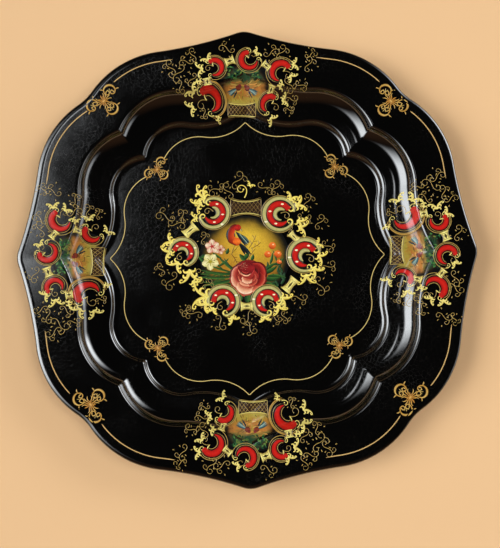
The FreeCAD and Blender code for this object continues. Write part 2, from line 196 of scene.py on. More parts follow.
def dish(name, upper_lift, lower_lift, count, material):
    """Closed skin between two lifts of the sheet's face, from the middle out to a station."""
    upper = lifted_rows(upper_lift, count)
    lower = lifted_rows(lower_lift, count)
    rows = floor_rows(upper[0]) + upper + lower[::-1] + floor_rows(lower[0])[::-1]
    around = len(rows[0])
    points = np.concatenate(rows)
    here = np.arange(around)
    there = (here + 1) % around
    faces = []
    for row in range(len(rows) - 1):
        start = row * around
        faces.append(np.column_stack([start + here, start + around + here,
                                      start + around + there, start + there]))
    faces = np.concatenate(faces).tolist()
    last = (len(rows) - 1) * around
    faces.append(here.tolist())
    faces.append((last + here)[::-1].tolist())
    return add_mesh(name, points, faces, material)


def skin_tree(obj):
    """Search tree over a smooth piece, in millimetres, to drop paint onto it."""
    points = [vertex.co / MM for vertex in obj.data.vertices]
    return BVHTree.FromPolygons(points, [face.vertices[:] for face in obj.data.polygons])


# ---- finishes --------------------------------------------------------------------------------

def linear(hex_colour):
    """Linear RGBA of an sRGB hex colour."""
    parts = [int(hex_colour[i:i + 2], 16) / 255 for i in (1, 3, 5)]
    return [c / 12.92 if c <= 0.04045 else ((c + 0.055) / 1.055) ** 2.4 for c in parts] + [1.0]


def per(size):
    """Texture scale of a pattern that repeats about every so many millimetres."""
    return 1 / (size * MM)


def node(tree, kind, inputs=(), stops=(), **settings):
    """Outputs of a new shader node. Inputs, by name or in order, are values or other outputs."""
    made = tree.nodes.new("ShaderNode" + kind)
    for key, value in settings.items():
        setattr(made, key, value)
    for key, value in inputs.items() if isinstance(inputs, dict) else enumerate(inputs):
        if isinstance(value, bpy.types.NodeSocket):
            tree.links.new(value, made.inputs[key])
        else:
            made.inputs[key].default_value = value
    for number, (position, colour) in enumerate(stops):
        ends = made.color_ramp.elements
        stop = ends[number] if number < 2 else ends.new(position)
        stop.position = position
        stop.color = linear(colour)
    return made.outputs


def new_finish(name):
    """Empty material of a name, and its tree."""
    material = bpy.data.materials.new(name)
    material.use_nodes = True
    material.node_tree.nodes.clear()
    return material, material.node_tree


def add_surface(tree, inputs):
    """A finish's shader and output."""
    shader = node(tree, "BsdfPrincipled", inputs)
    node(tree, "OutputMaterial", {"Surface": shader["BSDF"]})


def polished_lacquer():
    """Oven-dried black lacquer, rubbed and varnished: deep black, sharp gloss, fine old crackle."""
    material, tree = new_finish("polished_black_lacquer")
    place = node(tree, "TexCoord")["Object"]
    # Crackle cells 3 mm across, bent by a slow wander; lines are drawn 0.1 mm wide to show.
    wander = node(tree, "TexNoise", {"Vector": place, "Scale": per(11.11), "Detail": 3.0})["Color"]
    bent = node(tree, "Mix", {"Factor": 0.006, "A": place, "B": wander},
                data_type="VECTOR")["Result"]
    to_edge = node(tree, "TexVoronoi", {"Vector": bent, "Scale": per(3.03), "Randomness": 1.0},
                   feature="DISTANCE_TO_EDGE")["Distance"]
    line = node(tree, "MapRange", [to_edge, 0.0, 0.035, 1.0, 0.0])["Result"]
    # It shows in patches some 70 mm apart.
    patches = node(tree, "TexNoise", {"Vector": place, "Scale": per(71.43), "Detail": 4.0})["Fac"]
    where = node(tree, "MapRange", [patches, 0.42, 0.62])["Result"]
    crack = node(tree, "Math", [line, where], operation="MULTIPLY")["Value"]
    colour = node(tree, "Mix", {"Factor": crack, "A": linear("#020202"), "B": linear("#171411")},
                  data_type="RGBA")["Result"]
    haze = node(tree, "TexNoise", {"Vector": place, "Scale": per(16.67), "Detail": 5.0})["Fac"]
    dull = node(tree, "MapRange", [haze, 0.3, 0.75, 0.06, 0.13])["Result"]
    rough = node(tree, "Math", [crack, 0.25, dull], operation="MULTIPLY_ADD")["Value"]
    # Rubbing leaves the surface a few hundredths of a millimetre uneven over 9 mm or so.
    rubbed = node(tree, "TexNoise", {"Vector": place, "Scale": per(9.091), "Detail": 2.0})["Fac"]
    uneven = node(tree, "Bump", {"Height": rubbed, "Strength": 0.10, "Distance": 0.4 * MM})["Normal"]
    sunk = node(tree, "Bump", {"Height": crack, "Strength": 0.35, "Distance": 0.05 * MM,
                               "Normal": uneven}, invert=True)["Normal"]
    add_surface(tree, {"Base Color": colour, "Roughness": rough, "Normal": sunk, "IOR": 1.6,
                       "Coat Weight": 1.0, "Coat IOR": 1.55, "Coat Roughness": 0.06})
    return material


def back_enamel():
    """Sprayed satin black enamel on the pressing's back, slightly rough and scuffed."""
    material, tree = new_finish("satin_black_enamel")
    place = node(tree, "TexCoord")["Object"]
    scuffs = node(tree, "TexNoise", {"Vector": place, "Scale": per(25.0), "Detail": 8.0,
                                     "Roughness": 0.7})["Fac"]
    colour = node(tree, "ValToRGB", [scuffs],
                  [(0.35, "#0B0A0A"), (0.62, "#121010"), (0.75, "#2A2622")])["Color"]
    rough = node(tree, "MapRange", [scuffs, 0.3, 0.7, 0.32, 0.5])["Result"]
    # Spray leaves a fine orange peel, about 1 mm from crest to crest.
    peel = node(tree, "TexNoise", {"Vector": place, "Scale": per(1.111), "Detail": 2.0})["Fac"]
    bump = node(tree, "Bump", {"Height": peel, "Strength": 0.15, "Distance": 0.1 * MM})["Normal"]
    add_surface(tree, {"Base Color": colour, "Roughness": rough, "Normal": bump})
    return material


def drawn_steel():
    """Bright drawn steel of the wire in the rolled edge, dulled by brown spots of old rust."""
    material, tree = new_finish("drawn_steel_wire")
    place = node(tree, "TexCoord")["Object"]
    # Spots of rust stand 5 to 6 mm apart.
    spots = node(tree, "TexNoise", {"Vector": place, "Scale": per(5.556), "Detail": 6.0,
                                    "Roughness": 0.65})["Fac"]
    colour = node(tree, "ValToRGB", [spots],
                  [(0.45, "#9C9A96"), (0.6, "#7E7468"), (0.72, "#5A3A24")])["Color"]
    clean = node(tree, "MapRange", [spots, 0.5, 0.7, 1.0, 0.2])["Result"]
    rough = node(tree, "MapRange", [spots, 0.4, 0.7, 0.28, 0.75])["Result"]
    add_surface(tree, {"Base Color": colour, "Metallic": clean, "Roughness": rough})
    return material


def backdrop_paint():
    """Matt peach paint of the table and its low wall; far from the tray it shows its own colour."""
    material, tree = new_finish("matt_peach_paint")
    place = node(tree, "TexCoord")["Object"]
    away = node(tree, "VectorMath", [place], operation="LENGTH")["Value"]
    far = node(tree, "MapRange", [away, *PAINT_FADES], interpolation_type="SMOOTHSTEP")["Result"]
    rays = node(tree, "LightPath")
    seen = rays["Is Camera Ray"]
    for other in ("Is Glossy Ray", "Is Transmission Ray"):
        seen = node(tree, "Math", [seen, rays[other]], operation="MAXIMUM")["Value"]
    share = node(tree, "Math", [far, seen], operation="MULTIPLY")["Value"]
    lit = node(tree, "Mix", {"Factor": share, "A": linear(BACKDROP), "B": linear("#000000")},
               data_type="RGBA")["Result"]
    add_surface(tree, {"Base Color": lit, "Emission Strength": share,
                       "Emission Color": linear(BACKDROP), "Roughness": 0.9,
                       "Specular IOR Level": 0.0})
    return material


# ---- brush strokes ---------------------------------------------------------------------------

# Paint goes this far into the lacquer and stands this far over it. Each level of paint lies higher
# than the last, and so does each stroke of a level, up to a number of them.
PAINT_DEPTH, FIRST_LIFT, LEVEL_STEP, STROKE_STEP, STROKES_IN_STEP = 0.05, 0.03, 0.02, 0.0006, 25
# Strokes are dropped from a height over the tray, and none rises past the lacquer's highest place.
DROP_HEIGHT, DOWN = 40.0, Vector((0, 0, -1))
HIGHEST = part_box("face_lacquer")[1][2] / MM - 0.004

GOLD = [["#9A7420", "#FFEB6A", "#FFF58E", "#D2AC3C"], ["#86601A", "#F8DC54", "#FCEA7A", "#B88E2E"]]
PALE_GOLD = [["#C9AE52", "#F6E888", "#C9AE52"]]
LINE_GOLD = [["#9A763C", "#E2BC7E", "#9A763C"]]
FLOOR_LINE_GOLD = [["#A08442", "#E8D088", "#A08442"]]
AMBER_GOLD = [["#6E4818", "#C4943E", "#8E6226"], ["#7E5620", "#E4C272", "#A87C34"]]
OLD_GOLD = [["#8A7038", "#C4A65A", "#8A7038"]]
SAGE = [["#6A6432", "#B5AC66", "#C4B974", "#7E7640"]]
RED = [["#660A05", "#B8150B", "#CE1D12", "#B8150B", "#720D07"]]
SCROLL_HEAD = [["#A8150C", "#C41C12", "#A8150C"]]


def ink_grid(ink, rows, columns):
    """Linear colours over a stroke, from one hex colour or rows along it of colours across it."""
    if isinstance(ink, str):
        ink = [[ink]]
    table = np.array([[linear(tone) for tone in (row if len(row) > 1 else row * 2)]
                      for row in (ink if len(ink) > 1 else ink * 2)])
    down = np.linspace(0, len(table) - 1, rows)
    over = np.linspace(0, len(table[0]) - 1, columns)
    top = np.minimum(down.astype(int), len(table) - 2)
    left = np.minimum(over.astype(int), len(table[0]) - 2)
    down_part = (down - top)[:, None, None]
    over_part = (over - left)[None, :, None]
    corner = [table[top + i][:, left + k] for i in (0, 1) for k in (0, 1)]
    upper = corner[0] * (1 - over_part) + corner[1] * over_part
    lower = corner[2] * (1 - over_part) + corner[3] * over_part
    return upper * (1 - down_part) + lower * down_part


def towards(bearing):
    """Unit step on a bearing."""
    return np.exp(1j * np.radians(bearing))


def sweep(root, heading, bend, length, tighten=1.0):
    """Curve that leaves a root on a heading and turns by a bend, tighter towards its end."""
    share = np.linspace(0, 1, max(9, round(length / 0.55)))
    ahead = towards(heading + bend * share ** tighten)
    moves = (ahead[1:] + ahead[:-1]) / 2 * length / (len(share) - 1)
    return root + np.concatenate([[0], np.cumsum(moves)])


def arc(centre, radius, start, end, tuck=0.0):
    """Arc about a centre; tuck pulls both of its ends in by that share of the radius."""
    share = np.linspace(0, 1, max(12, round(abs(end - start) * radius / 40)))
    reach = radius * (1 - tuck * np.abs(2 * share - 1) ** 4)
    return centre + reach * towards(start + (end - start) * share)


def smooth(corners, steps=8):
    """Curve through a few given points."""
    corners = np.asarray(corners, dtype=complex)
    before = np.concatenate([[2 * corners[0] - corners[1]], corners[:-1]])
    after = np.concatenate([corners[1:], [2 * corners[-1] - corners[-2]]])
    slope = (after - before) / 2
    share = np.linspace(0, 1, steps, endpoint=False)[:, None]
    start = (2 * share ** 3 - 3 * share ** 2 + 1) * corners[:-1]
    leave = (share ** 3 - 2 * share ** 2 + share) * slope[:-1]
    finish = (3 * share ** 2 - 2 * share ** 3) * corners[1:]
    arrive = (share ** 3 - share ** 2) * slope[1:]
    return np.append((start + leave + finish + arrive).T.ravel(), corners[-1])


def swell(path, width, fullest=0.5, tip=0.06):
    """Half widths of a brush stroke: pointed ends, fullest at a share of its length."""
    share = np.linspace(0, 1, len(path)) ** (math.log(0.5) / math.log(fullest))
    return width * (tip + (1 - tip) * np.sin(math.pi * share) ** 0.75)


class PaintSkin:
    """Brush strokes of one paint over one part of the tray, gathered into one skin."""

    def __init__(self, turn=1):
        """Start with no strokes; each is turned as it is added."""
        self.turn = turn
        self.flat, self.lifts, self.inks, self.faces = [], [], [], []
        self.points = self.strokes = self.raised = 0

    def stroke(self, path, half_widths, ink, level=1, columns=3, crown=0.02):
        """Closed ribbon along a path; its ink is colours or a function of place."""
        path = np.asarray(path)
        rows = len(path)
        half_widths = np.broadcast_to(half_widths, rows)
        ahead = np.gradient(path)
        side = 1j * ahead / np.maximum(np.abs(ahead), 1e-9)
        share = np.linspace(-1, 1, columns)
        top = path[:, None] + side[:, None] * half_widths[:, None] * share
        self.strokes += 1
        lift = FIRST_LIFT + LEVEL_STEP * (level + self.raised)
        lift += STROKE_STEP * (self.strokes % STROKES_IN_STEP)
        # A broad stroke thins out to nothing at its edges, a liner's keeps half its thickness.
        film = (lift + crown * (1 - share ** 2)) * (1 - np.abs(share) ** 14)
        if columns < 5:
            film += 0.5 * lift * np.abs(share)
        lifts = np.concatenate([film, np.full(columns, -PAINT_DEPTH)])
        tones = ink(top) if callable(ink) else ink_grid(ink, rows, columns)
        self.flat.append(np.concatenate([top, top[:, ::-1]], axis=1).ravel() * self.turn)
        self.lifts.append(np.tile(lifts, rows))
        self.inks.append(np.concatenate([tones, tones[:, ::-1]], axis=1).reshape(-1, 4))
        around = 2 * columns
        here = self.points + np.arange(around)
        there = self.points + (np.arange(around) + 1) % around
        loop = np.column_stack([here, there, there + around, here + around])
        for row in range(rows - 1):
            self.faces.extend((loop + row * around).tolist())
        self.faces.append(here[::-1].tolist())
        self.faces.append((here + (rows - 1) * around).tolist())
        self.points += rows * around

    def comma(self, root, heading, bend, length, width, ink, level=1, fullest=0.35, columns=5):
        """One press of a round brush that lifts off to a point."""
        path = sweep(root, heading, bend, length, 1.3)
        self.stroke(path, swell(path, width, fullest), ink, level, columns)

    def dot(self, centre, radius, ink, level=2, columns=5):
        """Round touch of the brush."""
        share = np.linspace(-0.985, 0.985, columns + 4)
        self.stroke(centre + radius * share, radius * np.sqrt(1 - share ** 2), ink, level, columns,
                    crown=0.05)

    def line(self, path, width, ink, level=1):
        """Liner stroke of one width with soft ends."""
        share = np.linspace(0, 1, len(path))
        ends = np.minimum(1, np.minimum(share, 1 - share) * len(path) / 3 + 0.3)
        self.stroke(path, width / 2 * ends, ink, level)

    def piece(self, name, surface, material, slot, nodes=()):
        """Lay the strokes on the lacquer and make the skin a piece of the tray."""
        flat = np.concatenate(self.flat)
        lifts = np.concatenate(self.lifts)
        points = []
        for place, lift in zip(flat, lifts):
            below = surface.ray_cast(Vector((place.real, place.imag, DROP_HEIGHT)), DOWN)[0]
            points.append((place.real, place.imag, min(below.z + lift, HIGHEST)))
        skin = add_mesh(name, points, self.faces, material)
        skin.data.set_sharp_from_angle(angle=math.radians(40))
        pigment = skin.data.color_attributes.new("pigment", "FLOAT_COLOR", "POINT")
        pigment.data.foreach_set("color", np.concatenate(self.inks).ravel())
        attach(skin, "root")
        for covered in nodes:
            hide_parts(covered)


# ---- ornament --------------------------------------------------------------------------------

def curl(gold, root, heading, bend, length, width=0.4, ink=OLD_GOLD):
    """Liner tendril that winds up tighter and ends in a dot."""
    path = sweep(root, heading, bend, length, 1.75)
    gold.stroke(path, width / 2 * np.linspace(1, 0.65, len(path)), ink)
    gold.dot(path[-1], width * 0.75, ink, 1)


def sprig(gold, root, heading, size, hand):
    """Filigree: an S of two open curls with a side curl and a few lifted touches."""
    curl(gold, root, heading, hand * 360, size * 3.0)
    curl(gold, root, heading + 180, hand * 330, size * 2.3)
    stem = sweep(root, heading, hand * 50, size)
    curl(gold, stem[-1], heading - hand * 25, -hand * 290, size * 1.7, 0.36)
    for bearing, reach in ((96, 0.4), (-84, 0.8), (-40, 1.3), (165, 1.0)):
        place = root + size * reach * towards(heading + hand * bearing)
        gold.comma(place, heading + hand * (bearing - 30), hand * 70, size * 0.36, 0.34, OLD_GOLD,
                   1, 0.6)


def flame(gold, root, heading, bend, length, width, ink=GOLD, sides=(-1, 1)):
    """Acanthus blade: a curved trunk with hooked lobes that end in a ball, and a curled tip."""
    trunk = sweep(root, heading, bend, length, 1.6)
    gold.stroke(trunk, swell(trunk, width * 0.66, 0.3, 0.22), ink, 2, 5)
    for share, reach in ((0.1, 0.44), (0.48, 0.34)):
        for side in sides:
            base = trunk[int(share * (len(trunk) - 1))]
            way = heading + bend * share ** 1.6 + side * 40
            lobe = sweep(base, way, side * 140, length * reach, 1.8)
            gold.stroke(lobe, swell(lobe, width * 0.5, 0.42, 0.34), ink, 1, 5)
            gold.dot(lobe[-1], width * 0.3, ink, 1)
    tip = sweep(trunk[-2], heading + bend, math.copysign(220, bend), length * 0.3)
    gold.stroke(tip, swell(tip, width * 0.36, 0.3, 0.4), ink, 2)
    gold.dot(tip[-1], width * 0.34, ink)
    vein = trunk[2:int(0.75 * len(trunk))]
    gold.stroke(vein, swell(vein, width * 0.12, 0.3), "#A27A26", 5)


def tuft(gold, root, headings, length, width, ink=GOLD):
    """Fan of acanthus blades from one root; each bends away from the middle, lobes outside."""
    middle = sum(headings) / len(headings)
    for heading in headings:
        away = 1 if heading >= middle else -1
        sides = (-1, 1) if abs(heading - middle) < 5 else (away,)
        share = 1 - 0.2 * abs(heading - middle) / (abs(headings[0] - middle) + 1)
        flame(gold, root, heading, away * 70, length * share, width, ink, sides)


def beads(oils, path, places, radius):
    """Cream touches along a band."""
    for share in places:
        oils.dot(path[int(share * (len(path) - 1))], radius, [["#F2E6B4", "#FFF6CF", "#C9A860"]], 4)


def scroll_band(oils, centre, radius, start, end, width, places, fullness):
    """Red C of a scroll, its half width full to a given degree at places along it."""
    band = arc(centre, radius, start, end, 0.1)
    fat = np.interp(np.linspace(0, 1, len(band)), places, fullness)
    oils.stroke(band, width * fat, RED, 2, 9)
    return band, fat, (band - centre) / np.abs(band - centre)


def grand_scroll(oils, gold, centre, radius, start, end):
    """Gold-edged C scroll of the centre: sage rim, red band with beads, sage heart and volute."""
    hand = math.copysign(1, end - start)
    bed = arc(centre, radius * 0.7, start - hand * 14, end + hand * 14, 0.1)
    oils.stroke(bed, swell(bed, radius * 0.4, 0.5, 0.3), "#070403", 0, 9)
    rim = arc(centre, radius * 0.885, start - hand * 28, end + hand * 20, 0.12)
    oils.stroke(rim, swell(rim, radius * 0.15, 0.5, 0.35), SAGE, 1, 7, 0.04)
    gold.line(arc(centre, radius * 1.045, start - hand * 20, end + hand * 16, 0.15), 0.5, OLD_GOLD)
    band, fat, outward = scroll_band(oils, centre, radius * 0.585, start, end, radius * 0.215,
                                     (0, 0.1, 0.45, 0.85, 1), (0.6, 0.9, 1, 0.75, 0.2))
    oils.dot(band[1], radius * 0.17, SCROLL_HEAD, 2, 9)
    for edge in (0.225, -0.225):
        oils.line(band + outward * radius * edge * fat, 0.55, "#3A2A12", 3)
    heart = arc(centre, radius * 0.3, start + hand * 4, end - hand * 30, -0.1)
    oils.stroke(heart, swell(heart, radius * 0.125, 0.42, 0.2), SAGE, 3, 7, 0.04)
    beads(oils, band, (0.16, 0.47, 0.76), radius * 0.085)
    beads(oils, rim, (0.62,), radius * 0.095)
    mouth = (start + end) / 2 + 180
    inside = centre + radius * 0.06 * towards(mouth + hand * 70)
    curl(gold, inside, mouth + hand * 30, -hand * 340, radius * 1.1, 0.5)
    for edge, side in ((start, -hand), (end, hand)):
        path = sweep(centre + radius * 0.86 * towards(edge), edge + side * 96, side * 300,
                     radius * 0.8, 1.6)
        gold.stroke(path, swell(path, 0.75, 0.35, 0.3), GOLD, 2, 5)
        gold.dot(path[-1], 0.62, GOLD)


def rim_scroll(oils, gold, centre, radius, start, end, gilt=False):
    """C scroll of a rim picture: one full red band between fine gold lines, and a volute."""
    hand = math.copysign(1, end - start)
    bed = arc(centre, radius * 0.7, start - hand * 8, end + hand * 8, 0.1)
    oils.stroke(bed, swell(bed, radius * 0.36, 0.42, 0.3), "#080403", 0, 9)
    band, fat, outward = scroll_band(oils, centre, radius * 0.68, start, end, radius * 0.275,
                                     (0, 0.08, 0.4, 0.8, 1), (0.55, 0.9, 1, 0.62, 0.1))
    oils.dot(band[1], radius * 0.2, SCROLL_HEAD, 2, 9)
    for side in (-0.33, 0.33):
        gold.line(band + outward * radius * side * (0.25 + 0.75 * fat), 0.45, OLD_GOLD)
    gold.line(arc(centre, radius * 1.1, start - hand * 18, end + hand * 14, 0.15), 0.45, OLD_GOLD)
    if gilt:
        outside = arc(centre, radius * 1.17, start - hand * 2, end + hand * 6, 0.08)
        gold.stroke(outside, swell(outside, 0.7, 0.6, 0.2), [["#6E4A14", "#C79A48", "#7E5A1C"]], 1, 5)
    mouth = (start + end) / 2 + 180
    inside = centre + radius * 0.12 * towards(mouth + hand * 80)
    curl(gold, inside, mouth + hand * 40, -hand * 340, radius * 1.5)
    gold.comma(inside, mouth + hand * 70, hand * 60, radius * 0.4, 0.4, PALE_GOLD, 2)
    for edge, side in ((start, -hand), (end, hand)):
        curl(gold, centre + radius * 0.92 * towards(edge), edge + side * 96, side * 330,
             radius * 0.9, 0.6, PALE_GOLD)


def connector(gold, oils, centre, bearing, length, width):
    """Gold link between two scrolls: a four-pointed tile with hollow sides and a dark slot."""
    along = towards(bearing)
    share = np.linspace(-1, 1, 13)
    tile = 0.64 + 0.36 * np.abs(share) ** 1.8
    gold.stroke(centre + length / 2 * share * along, width / 2 * tile,
                [["#C9B050", "#F3E68A", "#C9B050"]], 1, 7)
    slot = centre + length * 0.28 * share * along
    oils.stroke(slot, width * 0.15 * (1.15 - np.abs(share)), "#1E1206", 5)
    oils.line(slot[2:-2], 0.4, "#D9B84A", 6)
    for side in (-1, 1):
        edge = along * (length / 2 * share + side * 0.5j * width * tile * 0.93)
        oils.line(centre + edge, 0.45, "#3A260C", 4)
        oils.line(centre + edge * 0.64, 0.42, "#5E4214", 4)
        oils.line(centre + along * (side * length * 0.32 + 0.3j * width * share * 0.9), 0.42,
                  "#5E4214", 4)


def trellis(gold, oils, centre, half_length, waist, mouth):
    """Spool-shaped panel of crossed gold lines over brown glaze."""
    def place(along, across):
        """Point of the panel, each way from -1 to 1."""
        return centre + half_length * along + 1j * (waist + (mouth - waist) * along ** 2) * across

    run = np.linspace(-1, 1, 17)
    level = np.ones(17)
    oils.stroke(place(run, 0), waist + (mouth - waist) * run ** 2,
                [["#1E0D06", "#38200E", "#1E0D06"]], 1, 17)
    climb = np.linspace(-1, 1, 13)
    pitch = 0.26
    for number in range(-6, 7):
        for hand in (-1, 1):
            along = number * pitch + hand * climb * waist / half_length * 0.9
            kept = np.abs(along) <= 1.0
            if kept.sum() > 2:
                gold.line(place(along[kept], climb[kept]), 0.36, OLD_GOLD, 4)
    for side in (-1, 1):
        gold.line(place(run, side), 0.6, PALE_GOLD, 4)
        gold.line(place(run, side * 1.2), 0.4, OLD_GOLD)
    for end in (-1, 1):
        gold.line(place(end * level, run), 0.5, OLD_GOLD, 4)


def leaf(oils, root, heading, bend, length, width, level=2, ink=None):
    """Green leaf with a lit side, a shaded side and a soft vein."""
    oils.comma(root, heading, bend, length, width,
               ink or [["#081808", "#14341A", "#2E5A24"], ["#0E2812", "#24501E", "#4E7A30"],
                       ["#0E2812", "#2A4A1C", "#4A6A2A"]], level, 0.4, 7)
    vein = sweep(root, heading, bend, length * 0.85, 1.3)
    oils.line(vein, 0.2, "#3E6A2C", level + 1)


def blossom(oils, centre, radius, first, petals, heart):
    """Five-petalled flower of rounded touches round a dotted heart."""
    for number in range(5):
        way = first + 72 * number
        oils.comma(centre + radius * 0.08 * towards(way), way, 14, radius * 0.95, radius * 0.44,
                   petals, 4, 0.6, 7)
        oils.comma(centre, way + 4, 10, radius * 0.6, radius * 0.1, heart, 5, 0.5)
    oils.dot(centre, radius * 0.24, heart, 6)


def berry(oils, centre, radius):
    """Orange berry with a lit cheek."""
    oils.dot(centre, radius, [["#8E2A08", "#E0571A", "#F08A34"], ["#C23E0C", "#F07A2C", "#E8641E"]],
             4, 7)
    oils.dot(centre + radius * (0.25 + 0.3j), radius * 0.28, "#FBD39A", 6)


def rose(oils, centre, size):
    """Full rose turned a little up: outer petals, a middle cup and a crimson heart."""
    oils.dot(centre, size * 0.84, [["#5E0E10", "#A42C22", "#7E1A16"]], 3, 15)
    petals = ((178, 8.8, 84, 3.6, "#6E100E", "#C8503E", "#F2B896"),
              (16, 9.2, 88, 3.6, "#5E0A0A", "#A01E18", "#D05038"),
              (336, 9.6, 70, 3.4, "#6A0E0C", "#B02C20", "#E07858"),
              (208, 9.8, 74, 3.6, "#9A3020", "#E08A68", "#FADEB8"),
              (298, 9.8, 66, 3.6, "#8E261A", "#D86A4A", "#F6C89C"),
              (254, 10.2, 74, 4.2, "#BE5238", "#F2B48A", "#FCEAC6"),
              (150, 7.6, 74, 3.0, "#5E0A0C", "#A8261E", "#DC7458"),
              (44, 7.4, 74, 3.0, "#4A0608", "#8A1814", "#BA3A2A"),
              (236, 7.0, 78, 3.0, "#B04430", "#F0A880", "#FBE2BC"),
              (300, 6.8, 66, 2.8, "#7A1410", "#C84E38", "#F0AC82"),
              (190, 6.4, 60, 2.4, "#7A1410", "#CC5A40", "#F0B088"),
              (318, 4.6, 96, 2.2, "#7A1410", "#BA4432", "#E88E6C"),
              (256, 4.6, 112, 2.8, "#C45A40", "#F4B890", "#FCE6C4"))
    for bearing, reach, spread, width, deep, body, lip in petals:
        scale = size / 13
        petal = arc(centre, reach * scale, bearing - spread / 2, bearing + spread / 2, 0.14)
        shade = centre + (petal - centre) * 1.06
        oils.stroke(shade, swell(shade, (width + 0.3) * scale, 0.5, 0.2), [[deep, "#4A0A10"]], 4, 9)
        oils.stroke(petal, swell(petal, width * scale, 0.5, 0.2), [[lip, body, deep, deep]], 4, 11,
                    0.05)
        for place in (0.3, 0.5, 0.72):
            lick = petal[int(place * (len(petal) - 1))]
            out = np.degrees(np.angle(lick - centre))
            oils.comma(lick + 0.75 * width * scale * towards(out), out + 172, 20,
                       1.3 * width * scale, 0.16 * width * scale, [[lip, body]], 5, 0.3)
    heart = centre + complex(-0.1, 0.36) * size
    oils.dot(heart, size * 0.46, [["#3A0408", "#7E1014", "#52080C"], ["#5E0A0E", "#9E2020", "#6E0E12"]],
             6, 13)
    for bearing, reach, spread, tone in ((205, 0.42, 110, "#E07A5A"), (330, 0.42, 100, "#B8302A"),
                                         (265, 0.40, 90, "#F4B890"), (90, 0.38, 120, "#7E1014"),
                                         (150, 0.34, 90, "#A82A24"), (30, 0.34, 90, "#6A0C10"),
                                         (240, 0.26, 130, "#B83A30"), (10, 0.24, 110, "#2E0306"),
                                         (130, 0.22, 110, "#861A18"), (280, 0.13, 150, "#2A0206"),
                                         (90, 0.1, 150, "#8E2018")):
        fold = arc(heart, reach * size, bearing - spread / 2, bearing + spread / 2, 0.12)
        oils.stroke(fold, swell(fold, size * 0.06), tone, 7, 5)
    for number in range(14):
        fleck = 0.055 * math.sqrt(number) * towards(137.5 * number)
        oils.dot(heart + (complex(-0.12, 0.1) + fleck) * size, 0.3, "#F0D2A0", 8, 3)


def song_bird(oils, foot):
    """Red and orange bird that looks back over its shoulder, with a slate wing and dark tail."""
    for heading, length, tone in ((-50, 13, "#0C1216"), (-42, 13.5, "#16242A"), (-60, 11, "#080C10")):
        oils.comma(foot + complex(5.5, 9.5), heading, -8, length, 1.1, tone, 4, 0.5)
    for step in range(3):
        oils.comma(foot + complex(1.4 + 0.5 * step, 18.5 - step), -112 + 8 * step, 30, 10, 1.0,
                   [["#101A20", "#2A4048", "#141E24"]], 4, 0.4)
    back = smooth(foot + np.array([2.4 + 21j, -1.2 + 18.6j, -2.2 + 15j, -1.2 + 11.4j, 2.0 + 7.6j]))
    oils.stroke(back, swell(back, 1.7, 0.5, 0.2), [["#0A0C0E", "#2E565E", "#16242A"]], 4, 7)
    body = smooth(foot + np.array([5.0 + 20.6j, 2.8 + 21.2j, 0.6 + 19.2j, -0.2 + 15.6j, 0.6 + 11.6j,
                                   3.6 + 7.4j]))
    oils.stroke(body, np.interp(np.linspace(0, 1, len(body)), [0, 0.3, 0.6, 0.82, 1],
                                [1.8, 2.3, 2.9, 3.4, 0.8]),
                [["#4E0806", "#A81C14", "#C8281C"], ["#4A0806", "#9E1A12", "#D0301E"],
                 ["#5E0E06", "#C23A14", "#E0601E"], ["#4A1006", "#A82C0C", "#D86A1E"]], 5, 11, 0.05)
    oils.dot(foot + 4.2 + 9.9j, 3.1, [["#A8240A", "#F0661A", "#E8561A"], ["#C83A0E", "#F58A2C",
                                      "#E0501A"]], 6, 9)
    oils.dot(foot + 5.0 + 20.6j, 2.6, [["#7A0E0A", "#C4241A", "#A81C14"]], 6, 9)
    oils.comma(foot + 6.9 + 19.8j, -50, -20, 3.0, 0.6, [["#D8B860", "#2A1A0C"]], 7)
    oils.dot(foot + 5.7 + 21j, 0.4, "#060303", 8)
    tones = ("#0C1416", "#1C2E2E", "#3E5E58", "#A0B4A0", "#28443E", "#0E1A1A", "#6E8A7A")
    for number, tone in enumerate(tones):
        oils.comma(foot + complex(3.8 + 0.8 * number, 17.6 - 0.5 * number), -60 + 3 * number,
                   6 - 2 * number, 14 - 1.1 * number, 0.85, [["#0C1418", tone, "#0C1418"]], 6, 0.35)
    oils.line(foot + np.array([2.6 + 7.2j, 1.2 + 3.4j, 0 + 0j]), 0.5, "#2A1208", 4)
    oils.line(foot + np.array([5.4 + 6.8j, 3.4 + 4.2j, 0.6 + 1.2j]), 0.5, "#2A1208", 4)


def twig(oils, root, heading, bend, length, width):
    """Thin brown stem with short side shoots."""
    path = sweep(root, heading, bend, length)
    oils.line(path, width, "#5A2A14", 3)
    for share, side in ((0.35, 1), (0.55, -1), (0.75, 1)):
        base = path[int(share * (len(path) - 1))]
        shoot = sweep(base, heading + bend * share + side * 42, side * 25, length * 0.3)
        oils.line(shoot, width * 0.8, "#5A2A14", 3)


def cloudy(place, scale, seed):
    """Slow mottling over the paint, from -1 to 1."""
    values = [noise.noise(Vector((z.real * scale, z.imag * scale, seed))) for z in place.ravel()]
    return np.clip(np.array(values).reshape(place.shape) * 1.6, -1, 1)


def glazed(tone, glazes, mottle):
    """Colour at each place under glazes, each as thick there as its share and the mottling say."""
    tone = np.asarray(linear(tone))
    for colour, share in glazes:
        share = np.clip(share + mottle, 0, 1)[..., None]
        tone = tone * (1 - share) + np.asarray(linear(colour)) * share
    return tone


def golden_sky(place):
    """Ochre ground: yellow light above the middle, shade and leaf green round the edge."""
    far = np.abs((place.real + 2) / 36 + 1j * (place.imag + 0.5) / 34)
    mottle = cloudy(place, 0.12, 3.0) * 0.13 + cloudy(place, 0.4, 7.0) * 0.08
    glow = 1.2 - np.abs((place - (2 + 14j)) / 26)
    return glazed("#A8701A", (("#DDB436", glow), ("#6A5216", (far - 0.55) * 3),
                              ("#1E2410", (far - 0.72) * 5), ("#1C3A18", (-place.imag - 13) / 12),
                              ("#020202", (far - 0.78) * 8)), mottle)


